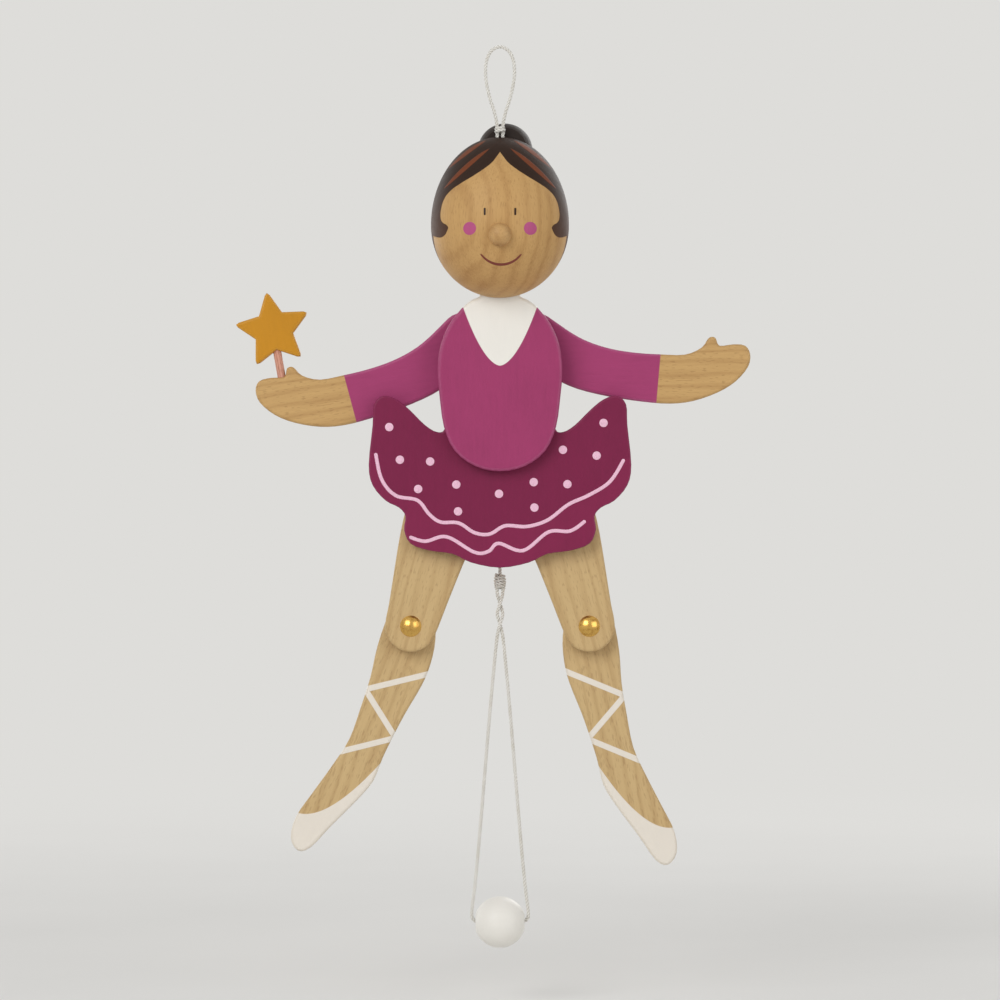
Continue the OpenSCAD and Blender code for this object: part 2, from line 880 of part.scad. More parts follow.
module bead() {
    color("ivory")
        translate(bead_place)
            difference() {
                sphere(d = bead_diameter);
                rotate([0, 90, 0])
                    cylinder(d = bead_bore, h = bead_diameter + overrun, center = true);
                for (side = [-1, 1])
                    on_side(side)
                        translate([bead_diameter / 2 - mouth_depth, 0, 0])
                            rotate([0, 90, 0])
                                cylinder(d1 = bead_bore, d2 = bead_mouth, h = mouth_depth);
            }
}

head();
nose();
bun();
torso_plate();
tutu_plate();
left_arm();
right_arm();
left_thigh();
right_thigh();
left_shin();
right_shin();
left_shoulder_rivet();
right_shoulder_rivet();
left_hip_rivet();
right_hip_rivet();
left_knee_rivet();
right_knee_rivet();
spacer_washers();
back_washers();
left_knee_washers();
right_knee_washers();
wand_stick();
wand_star();
hanging_loop();
hanging_knot();
arm_cord();
leg_cord();
arm_stop_knots();
leg_stop_knots();
arm_tie_knot();
leg_tie_knot();
pull_cord();
pull_knot();
pull_loop();
bead();
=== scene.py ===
import json
import logging
import math
from collections.abc import Iterable, Sequence
from dataclasses import dataclass, replace
from enum import Enum

import bmesh
import bpy
from bmesh.types import BMesh
from bpy.types import Material, Mesh, Object
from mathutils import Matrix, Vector
from mathutils.geometry import delaunay_2d_cdt


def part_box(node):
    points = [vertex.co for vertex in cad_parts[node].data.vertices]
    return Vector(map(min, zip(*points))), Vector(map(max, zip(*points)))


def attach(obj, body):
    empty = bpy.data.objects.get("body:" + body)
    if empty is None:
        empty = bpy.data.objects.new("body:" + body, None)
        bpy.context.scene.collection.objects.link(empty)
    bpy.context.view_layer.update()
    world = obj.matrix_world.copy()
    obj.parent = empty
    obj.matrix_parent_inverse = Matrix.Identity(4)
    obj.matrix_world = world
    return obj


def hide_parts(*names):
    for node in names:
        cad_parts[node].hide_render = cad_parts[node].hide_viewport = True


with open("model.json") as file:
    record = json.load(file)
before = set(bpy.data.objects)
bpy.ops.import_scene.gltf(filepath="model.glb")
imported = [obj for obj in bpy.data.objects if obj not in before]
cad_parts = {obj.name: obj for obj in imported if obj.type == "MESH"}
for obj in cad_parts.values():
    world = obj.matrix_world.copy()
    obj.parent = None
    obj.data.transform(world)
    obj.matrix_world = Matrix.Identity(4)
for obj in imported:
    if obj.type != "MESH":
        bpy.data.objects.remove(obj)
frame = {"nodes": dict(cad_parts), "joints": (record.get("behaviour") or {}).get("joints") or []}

MM = 0.001
log = logging.getLogger("jumping_jack")

Flat = tuple[float, float]
Point = tuple[float, float, float]
Outline = tuple[Flat, ...]
Route = tuple[Point, ...]
ORIGIN: Point = (0.0, 0.0, 0.0)
RIGHT: Point = (1.0, 0.0, 0.0)
BACK: Point = (0.0, 1.0, 0.0)
FRONT: Point = (0.0, -1.0, 0.0)
UP: Point = (0.0, 0.0, 1.0)
Colour = tuple[float, float, float, float]
Socket = bpy.types.NodeSocket


def rgb(red: float, green: float, blue: float) -> Colour:
    """Turn a colour as it is seen, 0 to 255, into the linear colour that a socket takes.

    Args:
        red: Red share.
        green: Green share.
        blue: Blue share.

    Returns:
        The linear colour with full alpha.
    """
    shares = [part / 255 for part in (red, green, blue)]
    linear = [s / 12.92 if s <= 0.04045 else ((s + 0.055) / 1.055) ** 2.4 for s in shares]
    return (linear[0], linear[1], linear[2], 1.0)


def pivot(joint: str) -> Flat:
    """Give a joint's place across and up, in millimetres."""
    found = next(j for j in frame["joints"] if j["name"] == joint)
    return (found["pos_m"][0] / MM, found["pos_m"][2] / MM)


def curve_point(a: Vector, b: Vector, c: Vector, d: Vector, share: float) -> Vector:
    """Find a point of the smooth curve from b to c.

    Args:
        a: Point before b.
        b: Start of the span.
        c: End of the span.
        d: Point after c.
        share: How far along the span, 0 to 1.

    Returns:
        The point on the curve.
    """
    run = 2 * b + (c - a) * share
    bend = (2 * a - 5 * b + 4 * c - d) * share**2
    turn = (3 * b - a - 3 * c + d) * share**3
    return (run + bend + turn) / 2


def smooth_line(points: Sequence[Sequence[float]], steps: int, closed: bool = False) -> list[Vector]:
    """Draw a smooth line through points.

    Args:
        points: Points that the line passes.
        steps: Steps of each span.
        closed: Whether it runs on from the last point to the first.

    Returns:
        The points of the line, once round where it is closed, or with both ends.
    """
    knots = [Vector(p) for p in points]
    if closed:
        padded = [knots[-1], *knots, knots[0], knots[1]]
    else:
        padded = [knots[0], *knots, knots[-1]]
    spans = len(padded) - 3
    line = [curve_point(*padded[i : i + 4], k / steps) for i in range(spans) for k in range(steps)]
    return line if closed else [*line, knots[-1]]


def mirrored(half: Route) -> list[Point]:
    """Run a route on from its middle, mirrored across the figure."""
    return [*half, *((-x, y, z) for x, y, z in reversed(half[:-1]))]


def rounded(radius: float, low: float, high: float, soft: float) -> list[Flat]:
    """Draw a turned wall between two levels with softened edges."""
    return [(radius - soft, low), (radius, low + soft), (radius, high - soft), (radius - soft, high)]


class Side(Enum):
    """Viewer's left or right."""

    LEFT = -1
    RIGHT = 1

    @property
    def word(self) -> str:
        """Name the side as the CAD names do."""
        return self.name.lower()


class Graph:
    """A node tree with one method that adds any node."""

    def __init__(self, tree: bpy.types.NodeTree) -> None:
        """Work on a tree."""
        self.tree = tree

    def add(self, kind: str, settings: dict | None = None, sockets: dict | None = None) -> bpy.types.Node:
        """Add one node.

        Args:
            kind: Type name of the node.
            settings: Settings that are made before its sockets.
            sockets: Values or links of its inputs, by name or number.

        Returns:
            The new node.
        """
        node = self.tree.nodes.new(kind)
        for name, setting in (settings or {}).items():
            if name == "points":
                self._shape_curve(node, setting)
            else:
                setattr(node, name, setting)
        for key, value in (sockets or {}).items():
            self.feed(node.inputs[key], value)
        return node

    def feed(self, socket: Socket, value: object) -> None:
        """Link a value to an input, or set it there."""
        source = value.socket if isinstance(value, Value) else value
        if isinstance(source, bpy.types.NodeSocket):
            self.tree.links.new(source, socket)
        else:
            socket.default_value = source

    def number(self, operation: str, *terms: object) -> Socket:
        """Add one Math node and give its result."""
        return self.add("ShaderNodeMath", {"operation": operation}, dict(enumerate(terms))).outputs[0]

    @staticmethod
    def _shape_curve(node: bpy.types.Node, points: Sequence[Flat]) -> None:
        """Lay a curve node's line through points, both coordinates 0 to 1."""
        node.mapping.extend = "HORIZONTAL"
        line = node.mapping.curves[0]
        line.points[0].location = points[0]
        line.points[1].location = points[-1]
        for place in points[1:-1]:
            line.points.new(*place)
        node.mapping.update()


class Value:
    """A number that varies over a surface; sums and products of it add Math nodes."""

    def __init__(self, shader: "Shader", socket: Socket) -> None:
        """Wrap an output of a material's tree."""
        self.shader = shader
        self.socket = socket

    def __add__(self, other: "Number") -> "Value":
        """Add."""
        return self.shader.math("ADD", self, other)

    def __radd__(self, other: "Number") -> "Value":
        """Add from the left."""
        return self.shader.math("ADD", other, self)

    def __sub__(self, other: "Number") -> "Value":
        """Subtract."""
        return self.shader.math("SUBTRACT", self, other)

    def __rsub__(self, other: "Number") -> "Value":
        """Subtract this from a number."""
        return self.shader.math("SUBTRACT", other, self)

    def __mul__(self, other: "Number") -> "Value":
        """Multiply."""
        return self.shader.math("MULTIPLY", self, other)

    def __rmul__(self, other: "Number") -> "Value":
        """Multiply from the left."""
        return self.shader.math("MULTIPLY", other, self)

    def __truediv__(self, other: "Number") -> "Value":
        """Divide."""
        return self.shader.math("DIVIDE", self, other)

    def __pow__(self, power: float) -> "Value":
        """Raise to a power."""
        return self.shader.math("POWER", self, power)

    def __abs__(self) -> "Value":
        """Drop the sign."""
        return self.shader.math("ABSOLUTE", self)

    def least(self, other: "Number") -> "Value":
        """Take the smaller."""
        return self.shader.math("MINIMUM", self, other)

    def most(self, other: "Number") -> "Value":
        """Take the larger."""
        return self.shader.math("MAXIMUM", self, other)

    def wave(self) -> "Value":
        """Take the sine."""
        return self.shader.math("SINE", self)

    def rise(self, low: float, high: float) -> "Value":
        """Rise smoothly from 0 at low to 1 at high."""
        return self.shader.ramp(self, low, high)


Number = Value | float


class Shader(Graph):
    """One material and the nodes that make it."""

    def __init__(self, name: str) -> None:
        """Start an empty material."""
        self.material = bpy.data.materials.new(name)
        self.material.use_nodes = True
        self.material.node_tree.nodes.clear()
        super().__init__(self.material.node_tree)
        position = self.add("ShaderNodeTexCoord").outputs["Object"]
        scaled = self.add("ShaderNodeVectorMath", {"operation": "SCALE"}, {0: position, "Scale": 1 / MM})
        parts = self.add("ShaderNodeSeparateXYZ", sockets={0: scaled.outputs[0]})
        self.x, self.y, self.z = (Value(self, part) for part in parts.outputs)

    @property
    def upright(self) -> "Place":
        """Give the place of a point on a piece whose grain runs up."""
        return Place(self.x, self.y, self.z)

    def math(self, operation: str, *terms: Number) -> Value:
        """Add one Math node and wrap its result."""
        return Value(self, self.number(operation, *terms))

    def ramp(self, value: Value, low: float, high: float) -> Value:
        """Add a smooth step between two bounds."""
        sockets = {"Value": value, "From Min": low, "From Max": high}
        node = self.add("ShaderNodeMapRange", {"interpolation_type": "SMOOTHSTEP"}, sockets)
        return Value(self, node.outputs[0])

    def line(self, value: Value, points: Sequence[Flat]) -> Value:
        """Follow a smooth line through points.

        Args:
            value: Where along the line.
            points: Given points, the first coordinate growing.

        Returns:
            The line's height there.
        """
        starts = [p[0] for p in points]
        heights = [p[1] for p in points]
        low, high = min(heights), max(heights)
        span = starts[-1] - starts[0]
        shares = [((s - starts[0]) / span, (h - low) / (high - low)) for s, h in points]
        place = (value - starts[0]) / span
        node = self.add("ShaderNodeFloatCurve", {"points": shares}, {"Value": place})
        return Value(self, node.outputs[0]) * (high - low) + low

    def attribute(self, name: str) -> Value:
        """Read a number that the mesh carries."""
        return Value(self, self.add("ShaderNodeAttribute", {"attribute_name": name}).outputs["Fac"])

    def vector(self, across: Number, depth: Number, along: Number) -> Socket:
        """Join three numbers."""
        return self.add("ShaderNodeCombineXYZ", sockets={0: across, 1: depth, 2: along}).outputs[0]

    def noise(self, vector: Socket, scale: float, detail: float = 2.0, roughness: float = 0.5) -> Value:
        """Add cloudy noise from 0 to 1.

        Args:
            vector: Where it is read.
            scale: Features for each unit.
            detail: Finer layers.
            roughness: Strength of the finer layers.

        Returns:
            The noise.
        """
        sockets = {"Vector": vector, "Scale": scale, "Detail": detail, "Roughness": roughness}
        return Value(self, self.add("ShaderNodeTexNoise", sockets=sockets).outputs[0])

    def mix(self, share: Number, first: Socket | Colour, second: Socket | Colour) -> Socket:
        """Mix two colours, the second by share."""
        return self.add("ShaderNodeMix", {"data_type": "RGBA"}, {0: share, 6: first, 7: second}).outputs[2]

    def finish(self, coat: "Layer", gloss: "Gloss") -> Material:
        """Close the material with its surface.

        Args:
            coat: Colour, roughness and relief.
            gloss: Values that are the same all over.

        Returns:
            The material.
        """
        bump = self.add("ShaderNodeBump", sockets={"Strength": 1.0, "Distance": MM, "Height": coat.height})
        sockets = {
            "Base Color": coat.colour,
            "Roughness": coat.roughness,
            "Normal": bump.outputs[0],
            "Metallic": gloss.metallic,
            "Specular IOR Level": gloss.specular,
            "Sheen Weight": gloss.sheen,
        }
        surface = self.add("ShaderNodeBsdfPrincipled", sockets=sockets)
        self.add("ShaderNodeOutputMaterial", sockets={"Surface": surface.outputs[0]})
        return self.material


@dataclass(frozen=True)
class Gloss:
    """What a surface's shine is like all over."""

    metallic: float = 0.0
    specular: float = 0.4
    sheen: float = 0.0


@dataclass
class Layer:
    """A finish as built so far: its colour, roughness and relief in millimetres."""

    colour: Socket | Colour
    roughness: Number
    height: Number


@dataclass
class Place:
    """Where a point lies on its piece, in millimetres, with the grain along the third axis."""

    across: Value
    depth: Value
    along: Value


@dataclass(frozen=True)
class LimbFrame:
    """A limb's own flat axes about its pivot: out from the body, and up along the limb."""

    side: Side
    joint: str
    turn: float

    def at(self, out: float, up: float) -> Flat:
        """Turn a place on the limb into one on the figure.

        Args:
            out: Millimetres out from the pivot.
            up: Millimetres up from the pivot.

        Returns:
            Across and up on the figure, in millimetres.
        """
        across, height = pivot(self.joint)
        angle = math.radians(self.turn)
        x = out * math.cos(angle) + up * math.sin(angle)
        z = up * math.cos(angle) - out * math.sin(angle)
        return (across + self.side.value * x, height + z)

    def read(self, shader: Shader) -> tuple[Value, Value]:
        """Give the material's values for out and up."""
        across, height = pivot(self.joint)
        angle = math.radians(self.turn)
        x = (shader.x - across) * self.side.value
        z = shader.z - height
        out = x * math.cos(angle) - z * math.sin(angle)
        up = x * math.sin(angle) + z * math.cos(angle)
        return out, up


@dataclass(frozen=True)
class Grain:
    """How fine a pattern is, in features for each millimetre across and along the grain."""

    across: float
    along: float
    detail: float = 2.0
    roughness: float = 0.5

    def read(self, shader: Shader, place: Place) -> Value:
        """Read noise from 0 to 1 that is drawn out along the grain."""
        wide = self.across
        spot = shader.vector(place.across * wide, place.depth * wide, place.along * self.along)
        return shader.noise(spot, 1.0, self.detail, self.roughness)


BROAD_TONE = Grain(0.09, 0.016)
STREAKS = Grain(1.5, 0.06, detail=3.0, roughness=0.6)
FLECKS = Grain(3.1, 0.55, detail=0.0)
PORES = Grain(3.0, 3.0)
BRUSH_MARKS = Grain(0.9, 0.11, detail=3.0, roughness=0.6)
PAINT_PEEL = Grain(1.3, 1.3, detail=1.0)
PAINT_CLOUD = Grain(0.07, 0.07, detail=3.0, roughness=0.6)


@dataclass(frozen=True)
class Ply:
    """Layers, glue lines and open pores that show on a plate's sawn edge."""

    front: float
    thickness: float
    layers: int = 3
    rim_edge: Flat = (0.6, 0.95)
    glue_edge: Flat = (0.04, 0.12)
    core_edge: Flat = (0.35, 0.55)
    core_share: float = 0.35
    pore_share: float = 0.25
    glue_share: float = 0.7
    pore_relief: float = 0.05

    def show(self, shader: Shader, place: Place, face: Layer, dark: Colour, glue: Colour) -> Layer:
        """Show the layers where the plate is sawn.

        Args:
            shader: Material to build in.
            place: Where the point lies on the piece.
            face: Finish of the plate's faces.
            dark: Colour of the middle layer and the pores.
            glue: Colour of the glue lines.

        Returns:
            The finish of faces and edge.
        """
        rim = shader.attribute("rim").rise(*self.rim_edge)
        level = (place.depth - self.front) * (self.layers / self.thickness)
        lines = 1 - abs(level - shader.math("ROUND", level)).rise(*self.glue_edge)
        core = 1 - abs(level - self.layers / 2).rise(*self.core_edge)
        pores = PORES.read(shader, place)
        colour = shader.mix(rim * (core * self.core_share + pores * self.pore_share), face.colour, dark)
        colour = shader.mix(rim * lines * self.glue_share, colour, glue)
        return Layer(colour, face.roughness, face.height + rim * pores * self.pore_relief)


@dataclass(frozen=True)
class Wood:
    """Bare sanded wood: broad tone, growth lines, fine streaks and short flecks."""

    light: Colour
    dark: Colour
    fleck: Colour
    line_gap: float
    line_strength: float
    fleck_strength: float
    roughness: float
    line_bend: float = 9.0
    line_slant: float = 0.6
    broad_share: float = 0.5
    streak_share: float = 0.55
    light_share: float = 0.3
    fleck_edge: Flat = (0.6, 0.76)
    streak_relief: float = 0.03
    fleck_relief: float = 0.02
    roughness_spread: float = 0.12

    def lay(self, shader: Shader, place: Place, ply: Ply | None = None) -> Layer:
        """Build the bare wood.

        Args:
            shader: Material to build in.
            place: Where the point lies on the piece.
            ply: Layers of a plate's edge, if it is a plate.

        Returns:
            The wood as a layer.
        """
        broad = BROAD_TONE.read(shader, place)
        bent = place.across + place.depth * self.line_slant + broad * self.line_bend
        lines = (bent * (2 * math.pi / self.line_gap)).wave() * 0.5 + 0.5
        streaks = STREAKS.read(shader, place)
        flecks = FLECKS.read(shader, place).rise(*self.fleck_edge)
        tone = broad * self.broad_share + lines**2.0 * self.line_strength + streaks * self.streak_share
        colour = shader.mix((tone - self.light_share).rise(0.0, 1.0), self.light, self.dark)
        colour = shader.mix(flecks * self.fleck_strength, colour, self.fleck)
        height = streaks * self.streak_relief - flecks * self.fleck_relief
        roughness = streaks * self.roughness_spread + (self.roughness - self.roughness_spread / 2)
        face = Layer(colour, roughness, height)
        return ply.show(shader, place, face, self.dark, self.fleck) if ply else face


@dataclass(frozen=True)
class Paint:
    """A brushed coat: its colour, the paler colour on its rounded edges, which is partly rubbed wear and
    partly a painted highlight, and its shine.
    """

    colour: Colour
    rubbed: Colour
    roughness: float = 0.45
    thickness: float = 0.05
    wear: float = 0.3
    stroke: float = 0.5
    deep: float = 0.72
    deepest: float = 0.6
    brush_share: float = 0.5
    cloud_share: float = 0.7
    clear_share: float = 0.25
    edge_start: Flat = (0.05, 0.4)
    edge_end: Flat = (0.5, 1.0)
    rubbed_least: float = 0.25
    rubbed_spread: float = 0.9
    rubbed_roughness: float = 0.3
    roughness_spread: float = 0.14
    grain_left: float = 0.5
    brush_relief: float = 0.02
    peel_relief: float = 0.012

    def over(self, shader: Shader, place: Place, under: Layer, mask: Number = 1.0) -> Layer:
        """Brush the coat over what lies under it.

        Args:
            shader: Material to build in.
            place: Where the point lies on the piece.
            under: Finish below.
            mask: Where the coat lies, 0 to 1.

        Returns:
            The finish with the coat on it.
        """
        brush = BRUSH_MARKS.read(shader, place)
        peel = PAINT_PEEL.read(shader, place)
        cloud = PAINT_CLOUD.read(shader, place)
        rim = shader.attribute("rim")
        # Paler paint along a plate's rounded edge: partly rubbed wear, partly a painted highlight where the
        # rounded edge catches the light.
        edge = rim.rise(*self.edge_start) * (1 - rim.rise(*self.edge_end))
        rubbed = (edge * (self.rubbed_least + peel * self.rubbed_spread)).least(1.0) * self.wear
        shade = (brush * self.brush_share + cloud * self.cloud_share - self.clear_share) * self.stroke
        deep = (*(part * self.deep for part in self.colour[:3]), 1.0)
        tint = shader.mix(shade.rise(0.0, self.deepest), self.colour, deep)
        tint = shader.mix(rubbed, tint, self.rubbed)
        smoothest = self.roughness - self.roughness_spread / 2
        roughness = brush * self.roughness_spread + smoothest + rubbed * self.rubbed_roughness
        marks = brush * self.brush_relief + peel * self.peel_relief
        height = under.height * self.grain_left + marks + self.thickness
        return Layer(
            shader.mix(mask, under.colour, tint),
            under.roughness + (roughness - under.roughness) * mask,
            under.height + (height - under.height) * mask,
        )


BEECH = Wood(
    light=rgb(199, 159, 104),
    dark=rgb(158, 114, 67),
    fleck=rgb(128, 87, 48),
    line_gap=5.2,
    line_strength=0.22,
    fleck_strength=0.2,
    roughness=0.46,
)
LIME = Wood(
    light=rgb(204, 175, 126),
    dark=rgb(172, 138, 92),
    fleck=rgb(138, 101, 62),
    line_gap=3.4,
    line_strength=0.26,
    fleck_strength=0.28,
    roughness=0.5,
)
GOLDEN_LIME = replace(LIME, light=rgb(202, 164, 108), dark=rgb(166, 126, 78), fleck=rgb(132, 93, 54))
ROSE_DOWEL = Wood(
    light=rgb(214, 160, 138),
    dark=rgb(176, 110, 92),
    fleck=rgb(136, 78, 62),
    line_gap=1.1,
    line_strength=0.4,
    fleck_strength=0.4,
    roughness=0.5,
)
PINK = Paint(colour=rgb(162, 59, 106), rubbed=rgb(196, 124, 160))
# The sleeves' pink is a little more violet than the torso's, and also a little lighter: painted light, as
# if the sleeves stood nearer the lamps.
SLEEVE_PINK_PARTLY_LIT = Paint(colour=rgb(168, 64, 113), rubbed=rgb(202, 130, 168))
MAGENTA = Paint(colour=rgb(124, 30, 70), rubbed=rgb(164, 74, 116))
DEEP_PINK = Paint(colour=rgb(132, 34, 75), rubbed=rgb(168, 78, 120))
WHITE = Paint(colour=rgb(238, 235, 228), rubbed=rgb(226, 214, 190), roughness=0.4, stroke=0.22, wear=0.25)
RIBBON = Paint(colour=rgb(232, 224, 212), rubbed=rgb(222, 208, 184), stroke=0.22)
GOLD = Paint(colour=rgb(200, 138, 28), rubbed=rgb(228, 182, 98), roughness=0.42, stroke=0.4)
HAIR = Paint(colour=rgb(50, 33, 24), rubbed=rgb(84, 58, 44), roughness=0.55, stroke=0.8)
HAIR_ENDS = Paint(colour=rgb(88, 60, 46), rubbed=rgb(100, 72, 58), roughness=0.55, thickness=0.06)
BUN_BROWN = Paint(colour=rgb(42, 29, 22), rubbed=rgb(80, 56, 44), roughness=0.52, stroke=0.8)
AUBURN = Paint(colour=rgb(118, 62, 36), rubbed=rgb(140, 82, 52), roughness=0.55, thickness=0.07)
CHEEK = Paint(colour=rgb(184, 86, 132), rubbed=rgb(200, 116, 152))
EYE = Paint(colour=rgb(52, 34, 24), rubbed=rgb(70, 48, 34), roughness=0.36)
SMILE = Paint(colour=rgb(128, 66, 58), rubbed=rgb(150, 90, 80), roughness=0.42)
PALE_PINK = Paint(colour=rgb(238, 192, 214), rubbed=rgb(240, 206, 224), roughness=0.38, stroke=0.25)


@dataclass(frozen=True)
class Stuff:
    """A material that is the same all over: patches of a second colour and a fine grain."""

    slot: str
    colour: Colour
    patch_colour: Colour
    patches: Grain
    patch_edge: Flat
    grain: Grain
    roughness: float
    grain_roughness: float
    relief: float
    gloss: Gloss
    patch_roughness: float = 0.0
    squeeze: float = 1.0
    valley: Colour | None = None
    valley_share: float = 0.55

    def build(self) -> Material:
        """Make the material, with painted shade where a cord's plies meet."""
        shader = Shader(self.slot)
        patch = self.patches.read(shader, shader.upright).rise(*self.patch_edge)
        grain = self.grain.read(shader, Place(shader.x * self.squeeze, shader.y, shader.z))
        colour = shader.mix(patch, self.colour, self.patch_colour)
        if self.valley:
            # Painted shade: a darker colour in the grooves between a cord's plies.
            colour = shader.mix(shader.attribute("valley") * self.valley_share, colour, self.valley)
        roughness = patch * self.patch_roughness + grain * self.grain_roughness + self.roughness
        return shader.finish(Layer(colour, roughness, grain * self.relief), self.gloss)


BRASS = Stuff(
    slot="rivet_brass",
    colour=rgb(222, 178, 96),
    patch_colour=rgb(176, 128, 62),
    patches=Grain(0.9, 0.9, detail=3.0, roughness=0.6),
    patch_edge=(0.42, 0.78),
    patch_roughness=0.16,
    grain=Grain(1.4, 8.4),
    squeeze=0.5,
    roughness=0.16,
    grain_roughness=0.08,
    relief=0.012,
    gloss=Gloss(metallic=1.0, specular=0.5),
)
NYLON = Stuff(
    slot="washer_nylon",
    colour=rgb(232, 230, 222),
    patch_colour=rgb(212, 208, 198),
    patches=Grain(0.6, 0.6),
    patch_edge=(0.3, 0.7),
    grain=Grain(4.0, 4.0, detail=1.0),
    roughness=0.38,
    grain_roughness=0.14,
    relief=0.01,
    gloss=Gloss(specular=0.45),
)
# The cotton cord gets painted shade in the grooves between its plies.
COTTON = Stuff(
    slot="cotton_cord",
    colour=rgb(240, 238, 232),
    patch_colour=rgb(222, 218, 208),
    patches=Grain(0.25, 0.25),
    patch_edge=(0.4, 0.8),
    grain=Grain(7.0, 7.0, roughness=0.7),
    roughness=0.75,
    grain_roughness=0.15,
    relief=0.05,
    gloss=Gloss(specular=0.2, sheen=0.3),
    valley=rgb(170, 164, 152),
)


def mesh_from(bm: BMesh, name: str, sharp: float | None = None) -> Mesh:
    """Turn a bmesh into a mesh and free it.

    Args:
        bm: What was built.
        name: Name of the mesh.
        sharp: Degrees past which an edge stays sharp on a smooth mesh, or nothing to leave the shading.

    Returns:
        The mesh.
    """
    mesh = bpy.data.meshes.new(name)
    bm.to_mesh(mesh)
    bm.free()
    if sharp is not None:
        mesh.polygons.foreach_set("use_smooth", [True] * len(mesh.polygons))
        mesh.set_sharp_from_angle(angle=math.radians(sharp))
    return mesh


def skin(bm: BMesh, first: Sequence, second: Sequence) -> list[bmesh.types.BMFace]:
    """Join two rings of the same count with four-sided faces."""
    faces = []
    for i, corner in enumerate(first):
        after = (i + 1) % len(first)
        faces.append(bm.faces.new((corner, first[after], second[after], second[i])))
    return faces


def close_tip(bm: BMesh, tip: bmesh.types.BMVert, ring: Sequence) -> None:
    """Close a ring to one point."""
    for i, corner in enumerate(ring):
        bm.faces.new((tip, corner, ring[(i + 1) % len(ring)]))


@dataclass
class Turned:
    """A piece made on a lathe, from a profile of radius and level in millimetres."""

    profile: Sequence[Flat]
    place: Point
    axis: Point
    hollow: bool = False
    segments: int = 56

    def mesh(self, name: str) -> Mesh:
        """Turn the profile.

        Args:
            name: Name of the mesh.

        Returns:
            The closed mesh, in metres.
        """
        bm = bmesh.new()
        axis = Vector(self.axis)
        across = axis.orthogonal().normalized()
        over = axis.cross(across)
        rings: list[list] = []
        for radius, level in self.profile:
            centre = Vector(self.place) + axis * level
            count = self.segments if radius > 0 else 1
            turns = [2 * math.pi * k / self.segments for k in range(count)]
            spots = [centre + (across * math.cos(t) + over * math.sin(t)) * radius for t in turns]
            rings.append([bm.verts.new(spot * MM) for spot in spots])
        pairs = list(zip(rings, rings[1:]))
        if self.hollow:
            pairs.append((rings[-1], rings[0]))
        for first, second in pairs:
            if len(first) > 1 and len(second) > 1:
                skin(bm, first, second)
            else:
                close_tip(bm, min(first, second, key=len)[0], max(first, second, key=len))
        bmesh.ops.recalc_face_normals(bm, faces=bm.faces)
        return mesh_from(bm, name, sharp=38)


@dataclass
class Bore:
    """A hole through a plate."""

    centre: Vector
    front_radius: float
    back_radius: float


@dataclass
class PlateShape:
    """A plate as its CAD node has it: two faces, an outline and its bores, in metres."""

    front: float
    back: float
    outline: list[Flat]
    bores: list[Bore]


